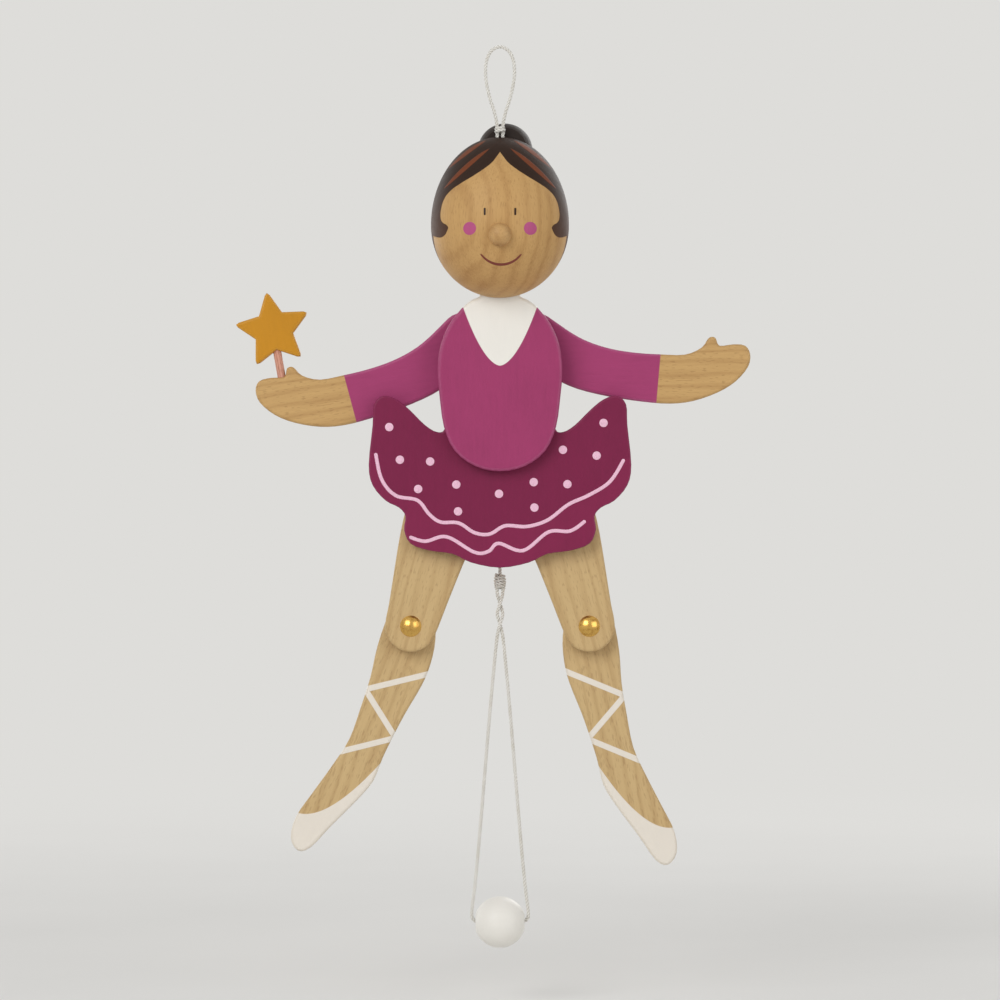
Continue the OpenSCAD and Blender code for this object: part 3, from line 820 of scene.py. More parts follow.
class PlateReader:
    """Reads a plate's outline and bores from its CAD node."""

    NEAR = 2e-6
    LEAST_RING = 12
    FACE_NORMAL = 0.99
    WALL_NORMAL = 0.1

    def __init__(self, node: str) -> None:
        """Copy and merge the node's mesh."""
        self.bm = bmesh.new()
        self.bm.from_mesh(frame["nodes"][node].data)
        bmesh.ops.remove_doubles(self.bm, verts=self.bm.verts, dist=self.NEAR)
        self.bm.normal_update()

    def read(self) -> PlateShape:
        """Find the faces, the outline and the bores."""
        heights = [v.co.y for v in self.bm.verts]
        front, back = min(heights), max(heights)
        level = self._ring_level(heights, front)
        rim = [e for e in self.bm.edges if all(abs(v.co.y - level) < self.NEAR for v in e.verts)]
        chains = self._chains(rim)
        outline = [(v.co.x, v.co.z) for v in max(chains, key=lambda c: len(c[0]))[0]]
        fronts = self._circles(front)
        backs = self._circles(back)
        bores = []
        for centre, radius in fronts:
            nearest = min(backs, key=lambda b: (b[0] - centre).length)
            bores.append(Bore(centre, radius, nearest[1]))
        self.bm.free()
        return PlateShape(front, back, self._spaced(outline), bores)

    def _ring_level(self, heights: list[float], front: float) -> float:
        """Find the first level behind the front face that holds a whole ring."""
        counts: dict[int, int] = {}
        for height in heights:
            key = round(height / self.NEAR)
            counts[key] = counts.get(key, 0) + 1
        first = round(front / self.NEAR)
        rings = [key for key, count in counts.items() if key > first + 2 and count >= self.LEAST_RING]
        return min(rings) * self.NEAR

    def _circles(self, level: float) -> list[tuple[Vector, float]]:
        """Find the round rims of the bores on one face."""
        rims = []
        for edge in self.bm.edges:
            flat = [abs(f.normal.y) for f in edge.link_faces]
            on_face = all(abs(v.co.y - level) < self.NEAR for v in edge.verts)
            if on_face and len(flat) == 2 and max(flat) > self.FACE_NORMAL and min(flat) < self.WALL_NORMAL:
                rims.append(edge)
        circles = []
        for chain, is_closed in self._chains(rims):
            if is_closed and len(chain) >= self.LEAST_RING:
                spots = [Vector((v.co.x, v.co.z)) for v in chain]
                centre = sum(spots, Vector((0.0, 0.0))) / len(spots)
                circles.append((centre, sum((s - centre).length for s in spots) / len(spots)))
        return circles

    @staticmethod
    def _chains(edges: Iterable) -> list[tuple[list, bool]]:
        """Order loose edges into chains, each with whether it closes."""
        near: dict = {}
        for edge in edges:
            first, second = edge.verts
            near.setdefault(first, []).append(second)
            near.setdefault(second, []).append(first)
        left = set(near)
        chains = []
        while left:
            ends = sorted((v for v in left if len(near[v]) == 1), key=lambda v: v.index)
            start = ends[0] if ends else min(left, key=lambda v: v.index)
            chain = [start]
            left.discard(start)
            while True:
                following = [v for v in near[chain[-1]] if v in left]
                if not following:
                    break
                chain.append(following[0])
                left.discard(following[0])
            chains.append((chain, chain[0] in near[chain[-1]]))
        return chains

    @staticmethod
    def _spaced(points: list[Flat], least: float = 0.0002, most: float = 0.001) -> list[Flat]:
        """Drop points closer together than the least step, and fill steps longer than the most."""
        kept = [Vector(points[0])]
        for point in points[1:]:
            if (Vector(point) - kept[-1]).length > least:
                kept.append(Vector(point))
        if (kept[0] - kept[-1]).length <= least:
            kept.pop()
        filled = []
        for i, start in enumerate(kept):
            step = kept[(i + 1) % len(kept)] - start
            pieces = math.ceil(step.length / most)
            filled += [tuple(start + step * (k / pieces)) for k in range(pieces)]
        return filled


@dataclass
class Plate:
    """A flat wooden plate with rounded edges, in the place of its CAD node."""

    node: str
    rounding: float = 0.9
    smooth_steps: int = 3
    round_steps: int = 5
    bore_sides: int = 32

    def mesh(self) -> Mesh:
        """Build the plate, with a rim value of 0 on its faces and 1 on its sawn edge."""
        shape = PlateReader(self.node).read()
        outline = [Vector(p) for p in shape.outline]
        if self.smooth_steps > 1:
            outline = smooth_line(shape.outline, self.smooth_steps, closed=True)
        bm = bmesh.new()
        rim = bm.verts.layers.float.new("rim")
        inward = self._inward(outline)
        room = self._room(outline, inward)
        rings = []
        for inset, depth, share in self._profile(shape):
            ring = []
            for point, way, most in zip(outline, inward, room):
                spot = point + way * min(inset, most)
                corner = bm.verts.new((spot.x, depth, spot.y))
                corner[rim] = share
                ring.append(corner)
            rings.append(ring)
        for first, second in zip(rings, rings[1:]):
            for face in skin(bm, first, second):
                face.smooth = True
        walls = [self._bore(bm, bore, shape) for bore in shape.bores]
        self._cap(bm, [rings[0], *(wall[0] for wall in walls)])
        self._cap(bm, [rings[-1], *(wall[1] for wall in walls)])
        bmesh.ops.recalc_face_normals(bm, faces=bm.faces)
        return mesh_from(bm, self.node)

    def _profile(self, shape: PlateShape) -> list[Point]:
        """List the rings over the rounded edge: inset, depth and rim value."""
        radius = self.rounding * MM
        quarter = [math.pi / 2 * k / self.round_steps for k in range(self.round_steps + 1)]
        half = [
            (radius * (1 - math.sin(a)), radius * (1 - math.cos(a)), a / (math.pi / 2)) for a in quarter
        ]
        front = [(inset, shape.front + depth, share) for inset, depth, share in half]
        back = [(inset, shape.back - depth, share) for inset, depth, share in reversed(half)]
        return front + back

    @staticmethod
    def _inward(outline: list[Vector]) -> list[Vector]:
        """Give the direction into the plate at each point of its outline."""
        count = len(outline)
        spans = [(outline[i], outline[(i + 1) % count]) for i in range(count)]
        area = sum(a.x * b.y - b.x * a.y for a, b in spans)
        hand = 1.0 if area > 0 else -1.0
        ways = []
        for i in range(count):
            along = (outline[(i + 1) % count] - outline[i - 1]).normalized()
            ways.append(Vector((-along.y, along.x)) * hand)
        return ways

    @staticmethod
    def _room(outline: list[Vector], inward: list[Vector]) -> list[float]:
        """Give how far each point can move in before the outline folds over itself."""
        count = len(outline)
        safe_share = 0.6
        spread = 0.4
        room = [math.inf] * count
        for i in range(count):
            step = outline[i] - outline[i - 1]
            closing = (inward[i - 1] - inward[i]).dot(step)
            if closing > 0:
                reach = step.length_squared / closing * safe_share
                room[i] = min(room[i], reach)
                room[i - 1] = min(room[i - 1], reach)
        for order in (range(count), range(-1, -count - 1, -1)):
            for i in (*order, *order):
                before = i - 1 if order.step > 0 else (i + 1) % count
                room[i] = min(room[i], room[before] + spread * (outline[i] - outline[before]).length)
        return room

    def _bore(self, bm: BMesh, bore: Bore, shape: PlateShape) -> tuple[list, list]:
        """Build a bore's wall and give its two rims."""
        rims = []
        for radius, depth in ((bore.front_radius, shape.front), (bore.back_radius, shape.back)):
            ring = []
            for k in range(self.bore_sides):
                turn = 2 * math.pi * k / self.bore_sides
                x = bore.centre.x + radius * math.cos(turn)
                z = bore.centre.y + radius * math.sin(turn)
                ring.append(bm.verts.new((x, depth, z)))
            rims.append(ring)
        for face in skin(bm, rims[0], rims[1]):
            face.smooth = True
        return rims[0], rims[1]

    @staticmethod
    def _cap(bm: BMesh, loops: list[list]) -> None:
        """Fill a flat face inside the first loop and outside the others."""
        corners = []
        owners = []
        sides = []
        for number, loop in enumerate(loops):
            first = len(corners)
            for i, corner in enumerate(loop):
                following = (i + 1) % len(loop)
                bm.edges.get((corner, loop[following])).smooth = False
                sides.append((first + i, first + following))
                corners.append(corner)
                owners.append(number)
        flat = [Vector((corner.co.x, corner.co.z)) for corner in corners]
        inside_only = 1
        nearest = 1e-9
        _, _, faces, sources, _, _ = delaunay_2d_cdt(flat, sides, [], inside_only, nearest)
        for face in faces:
            spots = [sources[i][0] for i in face]
            inside_bore = len({owners[i] for i in spots}) == 1 and owners[spots[0]] > 0
            if not inside_bore:
                bm.faces.new([corners[i] for i in spots])


class NodeTool(Graph):
    """A geometry tree with named inputs, which turns a source mesh into a finished one."""

    def __init__(self, name: str, numbers: Sequence[str] = (), pieces: Sequence[str] = ()) -> None:
        """Start a tree that also takes a material.

        Args:
            name: Name of the tree.
            numbers: Names of its inputs that are numbers.
            pieces: Names of its inputs that are objects.
        """
        super().__init__(bpy.data.node_groups.new(name, "GeometryNodeTree"))
        sockets = self.tree.interface
        sockets.new_socket("Geometry", in_out="OUTPUT", socket_type="NodeSocketGeometry")
        sockets.new_socket("Geometry", in_out="INPUT", socket_type="NodeSocketGeometry")
        kinds = {"Material": "NodeSocketMaterial"}
        kinds |= {label: "NodeSocketFloat" for label in numbers}
        kinds |= {label: "NodeSocketObject" for label in pieces}
        self.names: dict[str, str] = {}
        for label, kind in kinds.items():
            self.names[label] = sockets.new_socket(label, in_out="INPUT", socket_type=kind).identifier
        self.start = self.add("NodeGroupInput")

    def even_line(self) -> Socket:
        """Turn the source's edges into lines with even steps."""
        line = self.add("GeometryNodeMeshToCurve", sockets={0: self.start.outputs["Geometry"]})
        sockets = {"Curve": line.outputs[0], "Length": self.start.outputs["Step"]}
        return self.add("GeometryNodeResampleCurve", {"mode": "LENGTH"}, sockets).outputs[0]

    def close(self, geometry: Socket) -> None:
        """End the tree in real geometry with its material."""
        real = self.add("GeometryNodeRealizeInstances", sockets={0: geometry})
        sockets = {"Geometry": real.outputs[0], "Material": self.start.outputs["Material"]}
        dressed = self.add("GeometryNodeSetMaterial", sockets=sockets)
        self.add("NodeGroupOutput", sockets={0: dressed.outputs[0]})

    def run(self, source: Mesh, name: str, values: dict[str, object]) -> Mesh:
        """Put a mesh through the tree.

        Args:
            source: What the tree starts from.
            name: Name of the result.
            values: Values of the named inputs.

        Returns:
            The result as a plain mesh.
        """
        holder = bpy.data.objects.new(name + "_source", source)
        bpy.context.scene.collection.objects.link(holder)
        modifier = holder.modifiers.new(self.tree.name, "NODES")
        modifier.node_group = self.tree
        for label, value in values.items():
            modifier[self.names[label]] = value
        graph = bpy.context.evaluated_depsgraph_get()
        result = bpy.data.meshes.new_from_object(holder.evaluated_get(graph))
        result.name = name
        bpy.data.objects.remove(holder)
        return result


class CordTool(NodeTool):
    """Sweeps a three-ply cord along a line."""

    LOBES = 3.0
    SECTION_POINTS = 24

    def __init__(self) -> None:
        """Build the tree."""
        super().__init__("three_ply_cord", numbers=("Radius", "Pitch", "Step", "Lobe"))
        along = self.add("GeometryNodeSplineParameter").outputs["Length"]
        turns = self.number("DIVIDE", along, self.start.outputs["Pitch"])
        tilt = self.number("MULTIPLY", turns, 2 * math.pi)
        sockets = {"Curve": self.even_line(), "Tilt": tilt}
        twisted = self.add("GeometryNodeSetCurveTilt", sockets=sockets)
        sockets = {"Curve": twisted.outputs[0], "Profile Curve": self._profile(), "Fill Caps": True}
        swept = self.add("GeometryNodeCurveToMesh", sockets=sockets)
        smooth = self.add("GeometryNodeSetShadeSmooth", sockets={"Geometry": swept.outputs[0]})
        self.close(smooth.outputs[0])

    def _profile(self) -> Socket:
        """Draw the three-lobed section, which also carries how deep a point lies between two plies, for the
        painted shade there.
        """
        sockets = {"Resolution": self.SECTION_POINTS, "Radius": self.start.outputs["Radius"]}
        ring = self.add("GeometryNodeCurvePrimitiveCircle", sockets=sockets)
        spot = self.add("GeometryNodeInputPosition").outputs[0]
        parts = self.add("ShaderNodeSeparateXYZ", sockets={0: spot}).outputs
        turn = self.number("ARCTAN2", parts[1], parts[0])
        lobe = self.number("COSINE", self.number("MULTIPLY", turn, self.LOBES))
        dip = self.number("MULTIPLY", self.number("SUBTRACT", 1.0, lobe), 0.5)
        share = self.number("SUBTRACT", 1.0, self.number("MULTIPLY", dip, self.start.outputs["Lobe"]))
        settings = {"data_type": "FLOAT", "domain": "POINT"}
        # Stores how deep each point lies between plies, which the cord material turns into painted shade.
        sockets = {"Geometry": ring.outputs["Curve"], "Name": "valley", "Value": dip}
        kept = self.add("GeometryNodeStoreNamedAttribute", settings, sockets)
        scaled = self.add("ShaderNodeVectorMath", {"operation": "SCALE"}, {0: spot, "Scale": share})
        sockets = {"Geometry": kept.outputs[0], "Position": scaled.outputs[0]}
        return self.add("GeometryNodeSetPosition", sockets=sockets).outputs[0]


class SetTool(NodeTool):
    """Sets one piece on each point of a mesh."""

    def __init__(self) -> None:
        """Build the tree."""
        super().__init__("set_on_points", pieces=("Piece",))
        points = self.add("GeometryNodeMeshToPoints", sockets={"Mesh": self.start.outputs["Geometry"]})
        piece = self.add("GeometryNodeObjectInfo", sockets={"Object": self.start.outputs["Piece"]})
        sockets = {"Points": points.outputs[0], "Instance": piece.outputs["Geometry"]}
        placed = self.add("GeometryNodeInstanceOnPoints", sockets=sockets)
        self.close(placed.outputs[0])


class StrokeTool(NodeTool):
    """Lays a flat brush stroke with round ends along a line on a plate's front."""

    LEAST_SHARE = 0.08
    SECTION_POINTS = 12

    def __init__(self) -> None:
        """Build the tree."""
        super().__init__("brush_stroke", numbers=("Width", "Step", "Relief", "Front"))
        half = self.number("DIVIDE", self.start.outputs["Width"], 2.0)
        sockets = {"Resolution": self.SECTION_POINTS, "Radius": half}
        ring = self.add("GeometryNodeCurvePrimitiveCircle", sockets=sockets)
        sockets = {
            "Curve": self.even_line(),
            "Profile Curve": ring.outputs["Curve"],
            "Scale": self._width_share(half),
            "Fill Caps": True,
        }
        swept = self.add("GeometryNodeCurveToMesh", sockets=sockets)
        sockets = {"Geometry": swept.outputs[0], "Position": self._pressed()}
        pressed = self.add("GeometryNodeSetPosition", sockets=sockets)
        smooth = self.add("GeometryNodeSetShadeSmooth", sockets={"Geometry": pressed.outputs[0]})
        self.close(smooth.outputs[0])

    def _pressed(self) -> Socket:
        """Give each point's place once the round stroke is pressed flat on the plate."""
        spot = self.add("GeometryNodeInputPosition").outputs[0]
        parts = self.add("ShaderNodeSeparateXYZ", sockets={0: spot}).outputs
        front = self.start.outputs["Front"]
        proud = self.number("SUBTRACT", parts[1], front)
        flat = self.number("MULTIPLY_ADD", proud, self.start.outputs["Relief"], front)
        return self.add("ShaderNodeCombineXYZ", sockets={0: parts[0], 1: flat, 2: parts[2]}).outputs[0]

    def _width_share(self, half: Socket) -> Socket:
        """Give the share of the full width, which falls in a half round to both ends."""
        along = self.add("GeometryNodeSplineParameter").outputs["Length"]
        whole = self.add("GeometryNodeSplineLength").outputs["Length"]
        end = self.number("MINIMUM", along, self.number("SUBTRACT", whole, along))
        inside = self.number("MINIMUM", self.number("DIVIDE", end, half), 1.0)
        missing = self.number("POWER", self.number("SUBTRACT", 1.0, inside), 2.0)
        share = self.number("SQRT", self.number("SUBTRACT", 1.0, missing))
        return self.number("MAXIMUM", share, self.LEAST_SHARE)


def line_mesh(lines: Iterable[Sequence[Vector]], name: str) -> Mesh:
    """Make a mesh of open lines, in metres, from points in millimetres."""
    spots: list[Vector] = []
    links: list[tuple[int, int]] = []
    for line in lines:
        start = len(spots)
        spots += [Vector(p) * MM for p in line]
        links += [(start + i, start + i + 1) for i in range(len(line) - 1)]
    mesh = bpy.data.meshes.new(name)
    mesh.from_pydata(spots, links, [])
    return mesh


class Workshop:
    """Puts finished pieces on the figure."""

    TWIST_PITCH = 3.0
    CORD_STEP = 0.3
    PLY_DIP = 0.26

    def __init__(self) -> None:
        """Build the shared tools and finishes."""
        self.cords = CordTool()
        self.sets = SetTool()
        self.strokes = StrokeTool()
        self.brass = BRASS.build()
        self.nylon = NYLON.build()
        self.cotton = COTTON.build()

    def piece(
        self,
        mesh: Mesh,
        material: Material,
        body: str,
        slot: str,
        nodes: Sequence[str] = (),
    ) -> Object:
        """Place a finished mesh.

        Args:
            mesh: Mesh in the shared frame.
            material: Its finish.
            body: CAD body that it rides on.
            slot: Not used.
            nodes: CAD nodes that it stands for.

        Returns:
            The new object.
        """
        mesh.materials.clear()
        mesh.materials.append(material)
        made = bpy.data.objects.new(mesh.name, mesh)
        bpy.context.scene.collection.objects.link(made)
        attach(made, body)
        if nodes:
            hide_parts(*nodes)
        log.info("%s: %d faces on %s", made.name, len(mesh.polygons), body)
        return made

    def set_out(
        self,
        model: Mesh,
        spots: Sequence[Point],
        name: str,
        material: Material,
        body: str,
        slot: str,
        nodes: Sequence[str] = (),
    ) -> Object:
        """Set copies of one model on several spots, as one piece.

        Args:
            model: Mesh about the origin, in metres.
            spots: Where the copies go, in millimetres.
            name: Name of the piece.
            material: Its finish.
            body: CAD body that it rides on.
            slot: Not used; only passed on to piece.
            nodes: CAD nodes that it stands for.

        Returns:
            The new object.
        """
        points = bpy.data.meshes.new(name + "_spots")
        points.from_pydata([Vector(s) * MM for s in spots], [], [])
        holder = bpy.data.objects.new(name + "_model", model)
        bpy.context.scene.collection.objects.link(holder)
        mesh = self.sets.run(points, name, {"Piece": holder, "Material": material})
        bpy.data.objects.remove(holder)
        return self.piece(mesh, material, body, slot, nodes)

    def cord(
        self, lines: Iterable[Sequence[Vector]], name: str, radius: float, body: str, node: str
    ) -> Object:
        """Sweep three-ply cord along lines, as one piece.

        Args:
            lines: Centre lines in millimetres.
            name: Name of the piece.
            radius: Radius of the cord in millimetres.
            body: CAD body that it rides on.
            node: CAD node that it stands for.

        Returns:
            The new object.
        """
        values = {
            "Radius": radius * MM,
            "Pitch": self.TWIST_PITCH * MM,
            "Step": self.CORD_STEP * MM,
            "Lobe": self.PLY_DIP,
            "Material": self.cotton,
        }
        mesh = self.cords.run(line_mesh(lines, name + "_line"), name, values)
        return self.piece(mesh, self.cotton, body, "cotton_cord", [node])


@dataclass(frozen=True)
class Streak:
    """A brushed streak in the hair that swells in its middle and tapers at both ends."""

    start: float
    end: float
    level: float
    slope: float
    half: float
    bow: float = 0.4
    taper: float = 0.7
    edge: Flat = (-0.25, 0.1)

    def mask(self, out: Value, up: Value) -> Value:
        """Mask the streak by how far out and up a point lies."""
        share = ((out - self.start) / (self.end - self.start)).most(0.0).least(1.0)
        belly = share * (1 - share) * 4.0
        centre = out * self.slope + self.level + belly * self.bow
        return 1 - (abs(up - centre) - belly**self.taper * self.half).rise(*self.edge)


@dataclass
class Head:
    """Turned half egg with a ball nose and a bun, and the painted hair and face."""

    width: float = 40.0
    crown: float = 25.6
    jaw: float = 21.0
    middle_z: float = -51.0
    chin_z: float = -72.0
    back: float = 2.4
    back_edge: float = 0.7
    hole_radius: float = 1.4
    hole_levels: Point = (-9.0, -8.0, 2.0)
    around: int = 144
    bands: int = 60
    edge_steps: int = 4
    hairline: Outline = (
        (15.0, 14.6), (18.0, 14.6), (19.4, 14.8), (20.2, 15.3), (21.0, 16.4), (22.2, 17.0), (25.5, 16.8),
        (28.0, 15.9), (30.2, 14.0), (31.8, 11.6), (34.3, 7.3), (36.6, 3.9), (38.3, 2.0), (40.0, 0.8),
        (41.2, 0.0), (43.5, -0.9), (47.0, -1.2),
    )
    sideburn_foot: Outline = (
        (14.2, 20.6), (14.7, 19.6), (15.3, 18.2), (16.0, 17.3), (16.9, 16.9), (17.8, 17.0), (18.9, 17.5),
        (20.2, 18.4),
    )
    streaks: tuple[Streak, ...] = (
        Streak(3.0, 16.2, level=44.9, slope=-0.868, half=0.95),
        Streak(4.0, 14.8, level=48.1, slope=-0.74, half=0.85),
    )
    paint_end: Flat = (-0.35, -0.15)
    face_end: Flat = (-2.0, -1.4)
    cheek_place: Flat = (8.65, 18.9)
    cheek_edge: Flat = (1.77, 1.93)
    eye_place: Flat = (4.35, 23.6)
    eye_half: float = 0.78
    eye_edge: Flat = (0.24, 0.34)
    smile_place: Flat = (0.3, 15.8)
    smile_radius: float = 7.1
    smile_half: float = 0.36
    smile_taper: float = 0.14
    smile_reach: float = 5.8
    smile_edge: Flat = (-0.05, 0.06)
    smile_ends: Flat = (11.4, 11.9)
    hair_edge: Flat = (-0.1, 0.12)
    foot_edge: Flat = (-0.12, 0.12)
    side_rise: Flat = (5.0, 21.0)
    side_depth: float = 5.0
    side_edge: Flat = (-0.3, 0.3)
    side_foot: Flat = (5.0, 7.0)
    comb_depth: Flat = (0.4, 0.3)
    comb_along: Flat = (0.7, 0.4)
    ends_fade: Flat = (14.0, 36.0)
    ends_share: float = 0.8

    def build(self, shop: Workshop) -> None:
        """Build and dress the head, the nose and the bun."""
        shop.piece(self.egg(), self.face_finish(), "figure", "head_wood", ["head"])
        nose = self._ball("nose", "ball_nose", -1.0)
        shop.piece(nose, self.nose_finish(), "figure", "nose_wood", ["nose"])
        bun = self._ball("bun", "hair_bun", 1.0)
        shop.piece(bun, self.bun_finish(), "figure", "hair_paint", ["bun"])

    def egg(self) -> Mesh:
        """Build the half egg with a rounded back edge and the bored crown."""
        bm = bmesh.new()
        half = self.width / 2
        rings = []
        for k in range(self.edge_steps):
            turn = math.pi / 2 * k / self.edge_steps
            inset = self.back_edge * (1 - math.sin(turn))
            rings.append(self._ring(bm, 1 - inset / half, self.back_edge * (1 - math.cos(turn))))
        first = math.asin(self.back_edge / half)
        for k in range(self.bands):
            turn = first + (math.pi / 2 - first) * k / self.bands
            rings.append(self._ring(bm, math.cos(turn), half * math.sin(turn)))
        for outer, inner in zip(rings, rings[1:]):
            skin(bm, outer, inner)
        tip = bm.verts.new(Vector((0.0, self.back - half, self.middle_z)) * MM)
        close_tip(bm, tip, rings[-1])
        bm.faces.new(rings[0])
        bmesh.ops.recalc_face_normals(bm, faces=bm.faces)
        mesh = mesh_from(bm, "head_egg", sharp=40)
        return self._bored(mesh)

    def _ring(self, bm: BMesh, share: float, depth: float) -> list:
        """Lay one ring of the egg, a share of its outline, at a depth before its back."""
        ring = []
        for k in range(self.around):
            turn = 2 * math.pi * k / self.around
            tall = self.crown if math.sin(turn) > 0 else self.jaw
            x = self.width / 2 * math.cos(turn) * share
            z = self.middle_z + tall * math.sin(turn) * share
            ring.append(bm.verts.new(Vector((x, self.back - depth, z)) * MM))
        return ring

    def _bored(self, mesh: Mesh) -> Mesh:
        """Bore the crown for the hanging cord."""
        place = (0.0, 0.0, self.middle_z + self.crown)
        tip, foot, top = self.hole_levels
        profile = [(0.0, tip), (self.hole_radius, foot), (self.hole_radius, top), (0.0, top)]
        # A count that four doesn't divide keeps the drill's corners off the egg's middle plane.
        drill = Turned(profile, place, UP, segments=34).mesh("crown_drill")
        blank = bpy.data.objects.new("head_blank", mesh)
        tool = bpy.data.objects.new("crown_drill", drill)
        for item in (blank, tool):
            bpy.context.scene.collection.objects.link(item)
        cut = blank.modifiers.new("bore", "BOOLEAN")
        cut.operation = "DIFFERENCE"
        cut.solver = "EXACT"
        cut.object = tool
        graph = bpy.context.evaluated_depsgraph_get()
        bored = bpy.data.meshes.new_from_object(blank.evaluated_get(graph))
        bored.name = "turned_head"
        bpy.data.objects.remove(blank)
        bpy.data.objects.remove(tool)
        return bored

    @staticmethod
    def _ball(node: str, name: str, facing: float) -> Mesh:
        """Turn a ball that is flat where it is glued on.

        Args:
            node: CAD node whose place and size it takes.
            name: Name of the mesh.
            facing: 1 for a ball that looks to the back, -1 for one that looks to the front.

        Returns:
            The ball's mesh.
        """
        low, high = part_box(node)
        radius = (high.x - low.x) / 2 / MM
        depth = (high.y - low.y) / MM
        seat = low.y if facing > 0 else high.y
        start = math.asin((radius - depth) / radius)
        steps = 32
        turns = [start + (math.pi / 2 - start) * k / steps for k in range(steps)]
        arc = [(radius * math.cos(a), depth - radius + radius * math.sin(a)) for a in turns]
        place = ((low.x + high.x) / 2 / MM, seat / MM, (low.z + high.z) / 2 / MM)
        return Turned([(0.0, 0.0), *arc, (0.0, depth)], place, (0.0, facing, 0.0), segments=72).mesh(name)

    def face_finish(self) -> Material:
        """Dress the head: beech with painted hair, eyes, cheeks and smile."""
        shader = Shader("head_wood")
        place = shader.upright
        finish = BEECH.lay(shader, place)
        up = shader.z - self.chin_z
        out = abs(shader.x)
        ahead = 1 - (shader.y - self.back).rise(*self.paint_end)
        facing = 1 - shader.y.rise(*self.face_end)
        finish = CHEEK.over(shader, place, finish, self._cheek(out, up) * facing)
        finish = EYE.over(shader, place, finish, self._eye(out, up) * facing)
        finish = SMILE.over(shader, place, finish, self._smile(shader.x, up) * facing)
        hair, combed = self._hair(shader, out, up)
        hair = hair * ahead
        finish = HAIR.over(shader, combed, finish, hair)
        ends = hair * (1 - up.rise(*self.ends_fade)) * self.ends_share
        finish = HAIR_ENDS.over(shader, combed, finish, ends)
        for streak in self.streaks:
            finish = AUBURN.over(shader, combed, finish, streak.mask(out, up) * hair)
        return shader.finish(finish, Gloss(specular=0.15))

    def _cheek(self, out: Value, up: Value) -> Value:
        """Mask a round spot on both sides of the face."""
        across, height = self.cheek_place
        reach = ((out - across) ** 2.0 + (up - height) ** 2.0) ** 0.5
        return 1 - reach.rise(*self.cheek_edge)

    def _eye(self, out: Value, up: Value) -> Value:
        """Mask the two short upright dashes of the eyes."""
        across, height = self.eye_place
        rest = (abs(up - height) - self.eye_half).most(0.0)
        reach = ((out - across) ** 2.0 + rest**2.0) ** 0.5
        return 1 - reach.rise(*self.eye_edge)

    def _smile(self, x: Value, up: Value) -> Value:
        """Mask the thin curved smile, thinner to its ends."""
        middle, height = self.smile_place
        across = x - middle
        reach = (across**2.0 + (up - height) ** 2.0) ** 0.5
        half = self.smile_half - (across / self.smile_reach) ** 2.0 * self.smile_taper
        line = 1 - (abs(reach - self.smile_radius) - half).rise(*self.smile_edge)
        return line * (1 - up.rise(*self.smile_ends))

    def _hair(self, shader: Shader, out: Value, up: Value) -> tuple[Value, Place]:
        """Mask the painted hair, and give the place along its combed strokes."""
        parting = shader.line(up, self.hairline)
        foot = shader.line(out, self.sideburn_foot)
        front = (out - parting).rise(*self.hair_edge) * (up - foot).rise(*self.foot_edge)
        depth = up.rise(*self.side_rise) * self.side_depth
        side = (depth - (self.back - shader.y)).rise(*self.side_edge) * up.rise(*self.side_foot)
        layer = up * self.comb_depth[0] + shader.y * self.comb_depth[1]
        along = up * self.comb_along[0] + out * self.comb_along[1]
        return front.most(side), Place(out - parting, layer, along)

    @staticmethod
    def nose_finish() -> Material:
        """Dress the nose in the same wood, with its end grain to the front."""
        shader = Shader("nose_wood")
        place = Place(shader.x, shader.z, shader.y * 3.0)
        return shader.finish(BEECH.lay(shader, place), Gloss(specular=0.3))

    @staticmethod
    def bun_finish() -> Material:
        """Dress the bun in dark brown paint, brushed round it."""
        shader = Shader("hair_paint")
        round_way = Place(shader.y * 1.2, shader.z * 0.3, shader.x * 0.4)
        finish = BUN_BROWN.over(shader, round_way, BEECH.lay(shader, shader.upright))
        return shader.finish(finish, Gloss(specular=0.25))


